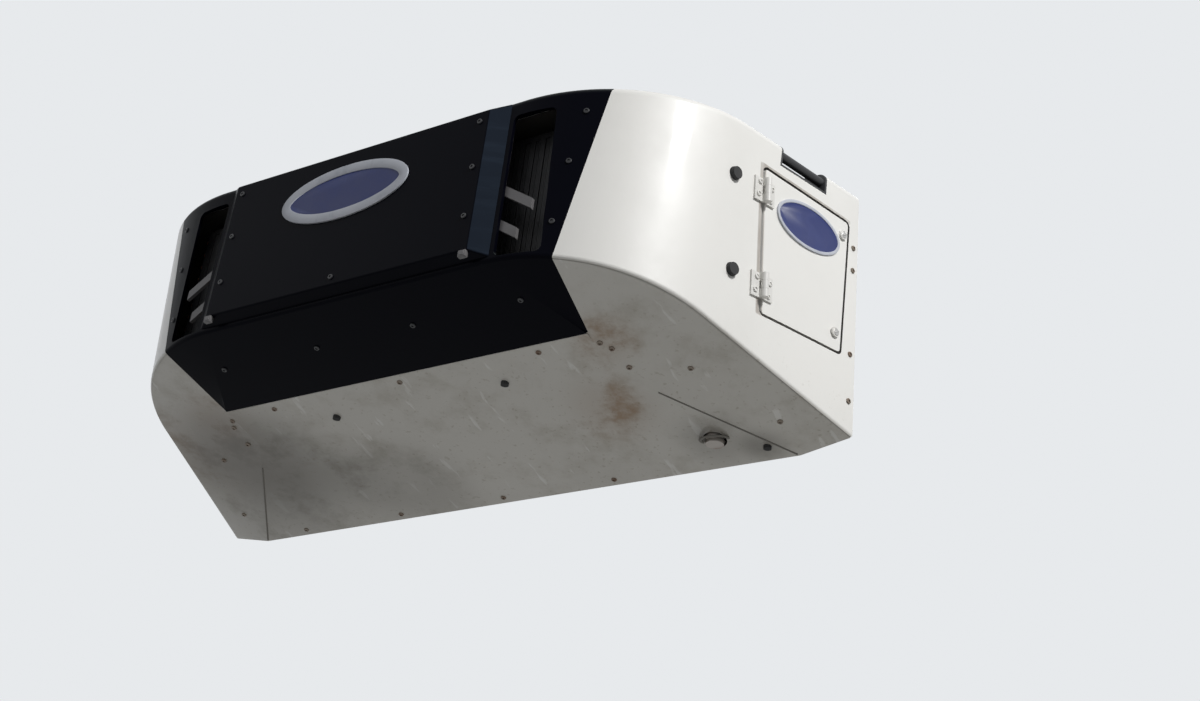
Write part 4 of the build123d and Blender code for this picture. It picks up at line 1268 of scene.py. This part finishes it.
outletRing = {
    "major": 0.0305, "minor": 0.0042, "flat": 0.6,
    "place": (0.59, -0.092, -0.3205), "facing": (0, 0.212, -1),
}
deselectAll()
bpy.ops.mesh.primitive_torus_add(
    major_radius=outletRing["major"], minor_radius=outletRing["minor"], major_segments=40, minor_segments=10
)
ring = bpy.context.object
editPiece(ring)
selectAll()
bpy.ops.transform.resize(value=(1, 1, outletRing["flat"]))
leaveEdit()
bpy.ops.object.shade_smooth_by_angle(angle=radians(60))
ring.data.transform(standOn(outletRing["place"], outletRing["facing"]))
dress([ring], "outlet_ring", "seamBead")
print("muffler dressed")


# evaporator section: side and rear covers, rivets, drain spouts and grille screws

coolBox = {
    "half": 0.5697,
    "low": -0.1097,
    "high": 0.2337,
    "rear": 0.3598,
    "rivet": [(0.0042, 0), (0.0042, 0.0006), (0.0036, 0.0016), (0.0018, 0.0022)],
    "rivetRow": 12,
    "rivetEnd": 0.52,
    "inset": 0.014,
    "spout": [(0.02, 0), (0.02, 0.004), (0.011, 0.005), (0.01, 0.03), (0.0085, 0.031)],
}
half, low, high, inset = coolBox["half"], coolBox["low"], coolBox["high"], coolBox["inset"]
covers = []
coverScrews = []
for sign in (-1, 1):
    near, far = sorted((sign * (half - 0.002), sign * (half + 0.0025)))
    covers.append(startCover((near, 0.05, -0.06), (far, 0.32, 0.184), (sign, 0, 0), 0.016, 0.002))
    face = sign * (half + 0.0022)
    coverScrews += [
        standOn((face, y, z), (sign, 0, 0)) for y in (0.058, 0.185, 0.312) for z in (-0.052, 0.176)
    ]
covers.append(startCover((-0.092, 0.358, -0.062), (0.092, 0.3625, 0.186), rearward, 0.014, 0.002))
coverScrews += [standOn((x, 0.3623, z), rearward) for x in (-0.084, 0.084) for z in (-0.054, 0.062, 0.178)]
dress(covers, "evaporator_covers", "evaporatorPaint")
fasten(panModel, coverScrews, "evaporator_screws")

rivets = []
last = coolBox["rivetRow"] - 1
for step in range(coolBox["rivetRow"]):
    x = -coolBox["rivetEnd"] + step * 2 * coolBox["rivetEnd"] / last
    rivets += [standOn((x, coolBox["rear"], z), rearward) for z in (low + inset, high - inset)]
    if 0 < step < last:
        rivets += [standOn((x, y, high - 0.0002), upward) for y in (0.06, 0.342)]
for x in (inset - half, half - inset):
    rivets += [standOn((x, coolBox["rear"], z), rearward) for z in (-0.045, 0.062, 0.169)]
rivetModel = startTurned(coolBox["rivet"], Matrix(), 12)
fasten(rivetModel, rivets, "evaporator_rivets", "grilleBars")
spouts = [standOn((x, 0.3, low + 0.0005), downward) for x in (-0.505, 0.505)]
dressTurned("drain_spouts", "cleanerPlastic", coolBox["spout"], spouts)
grilleScrews = [
    standOn((x, y, low), downward) @ Matrix.Scale(0.55, 4) for x in (-0.476, 0.476) for y in (0.0585, 0.1165)
]
fasten(panModel, grilleScrews, "grille_screws")
for model in (panModel, boltModel, rivetModel):
    bpy.data.objects.remove(model, do_unlink=True)
print("evaporator dressed")
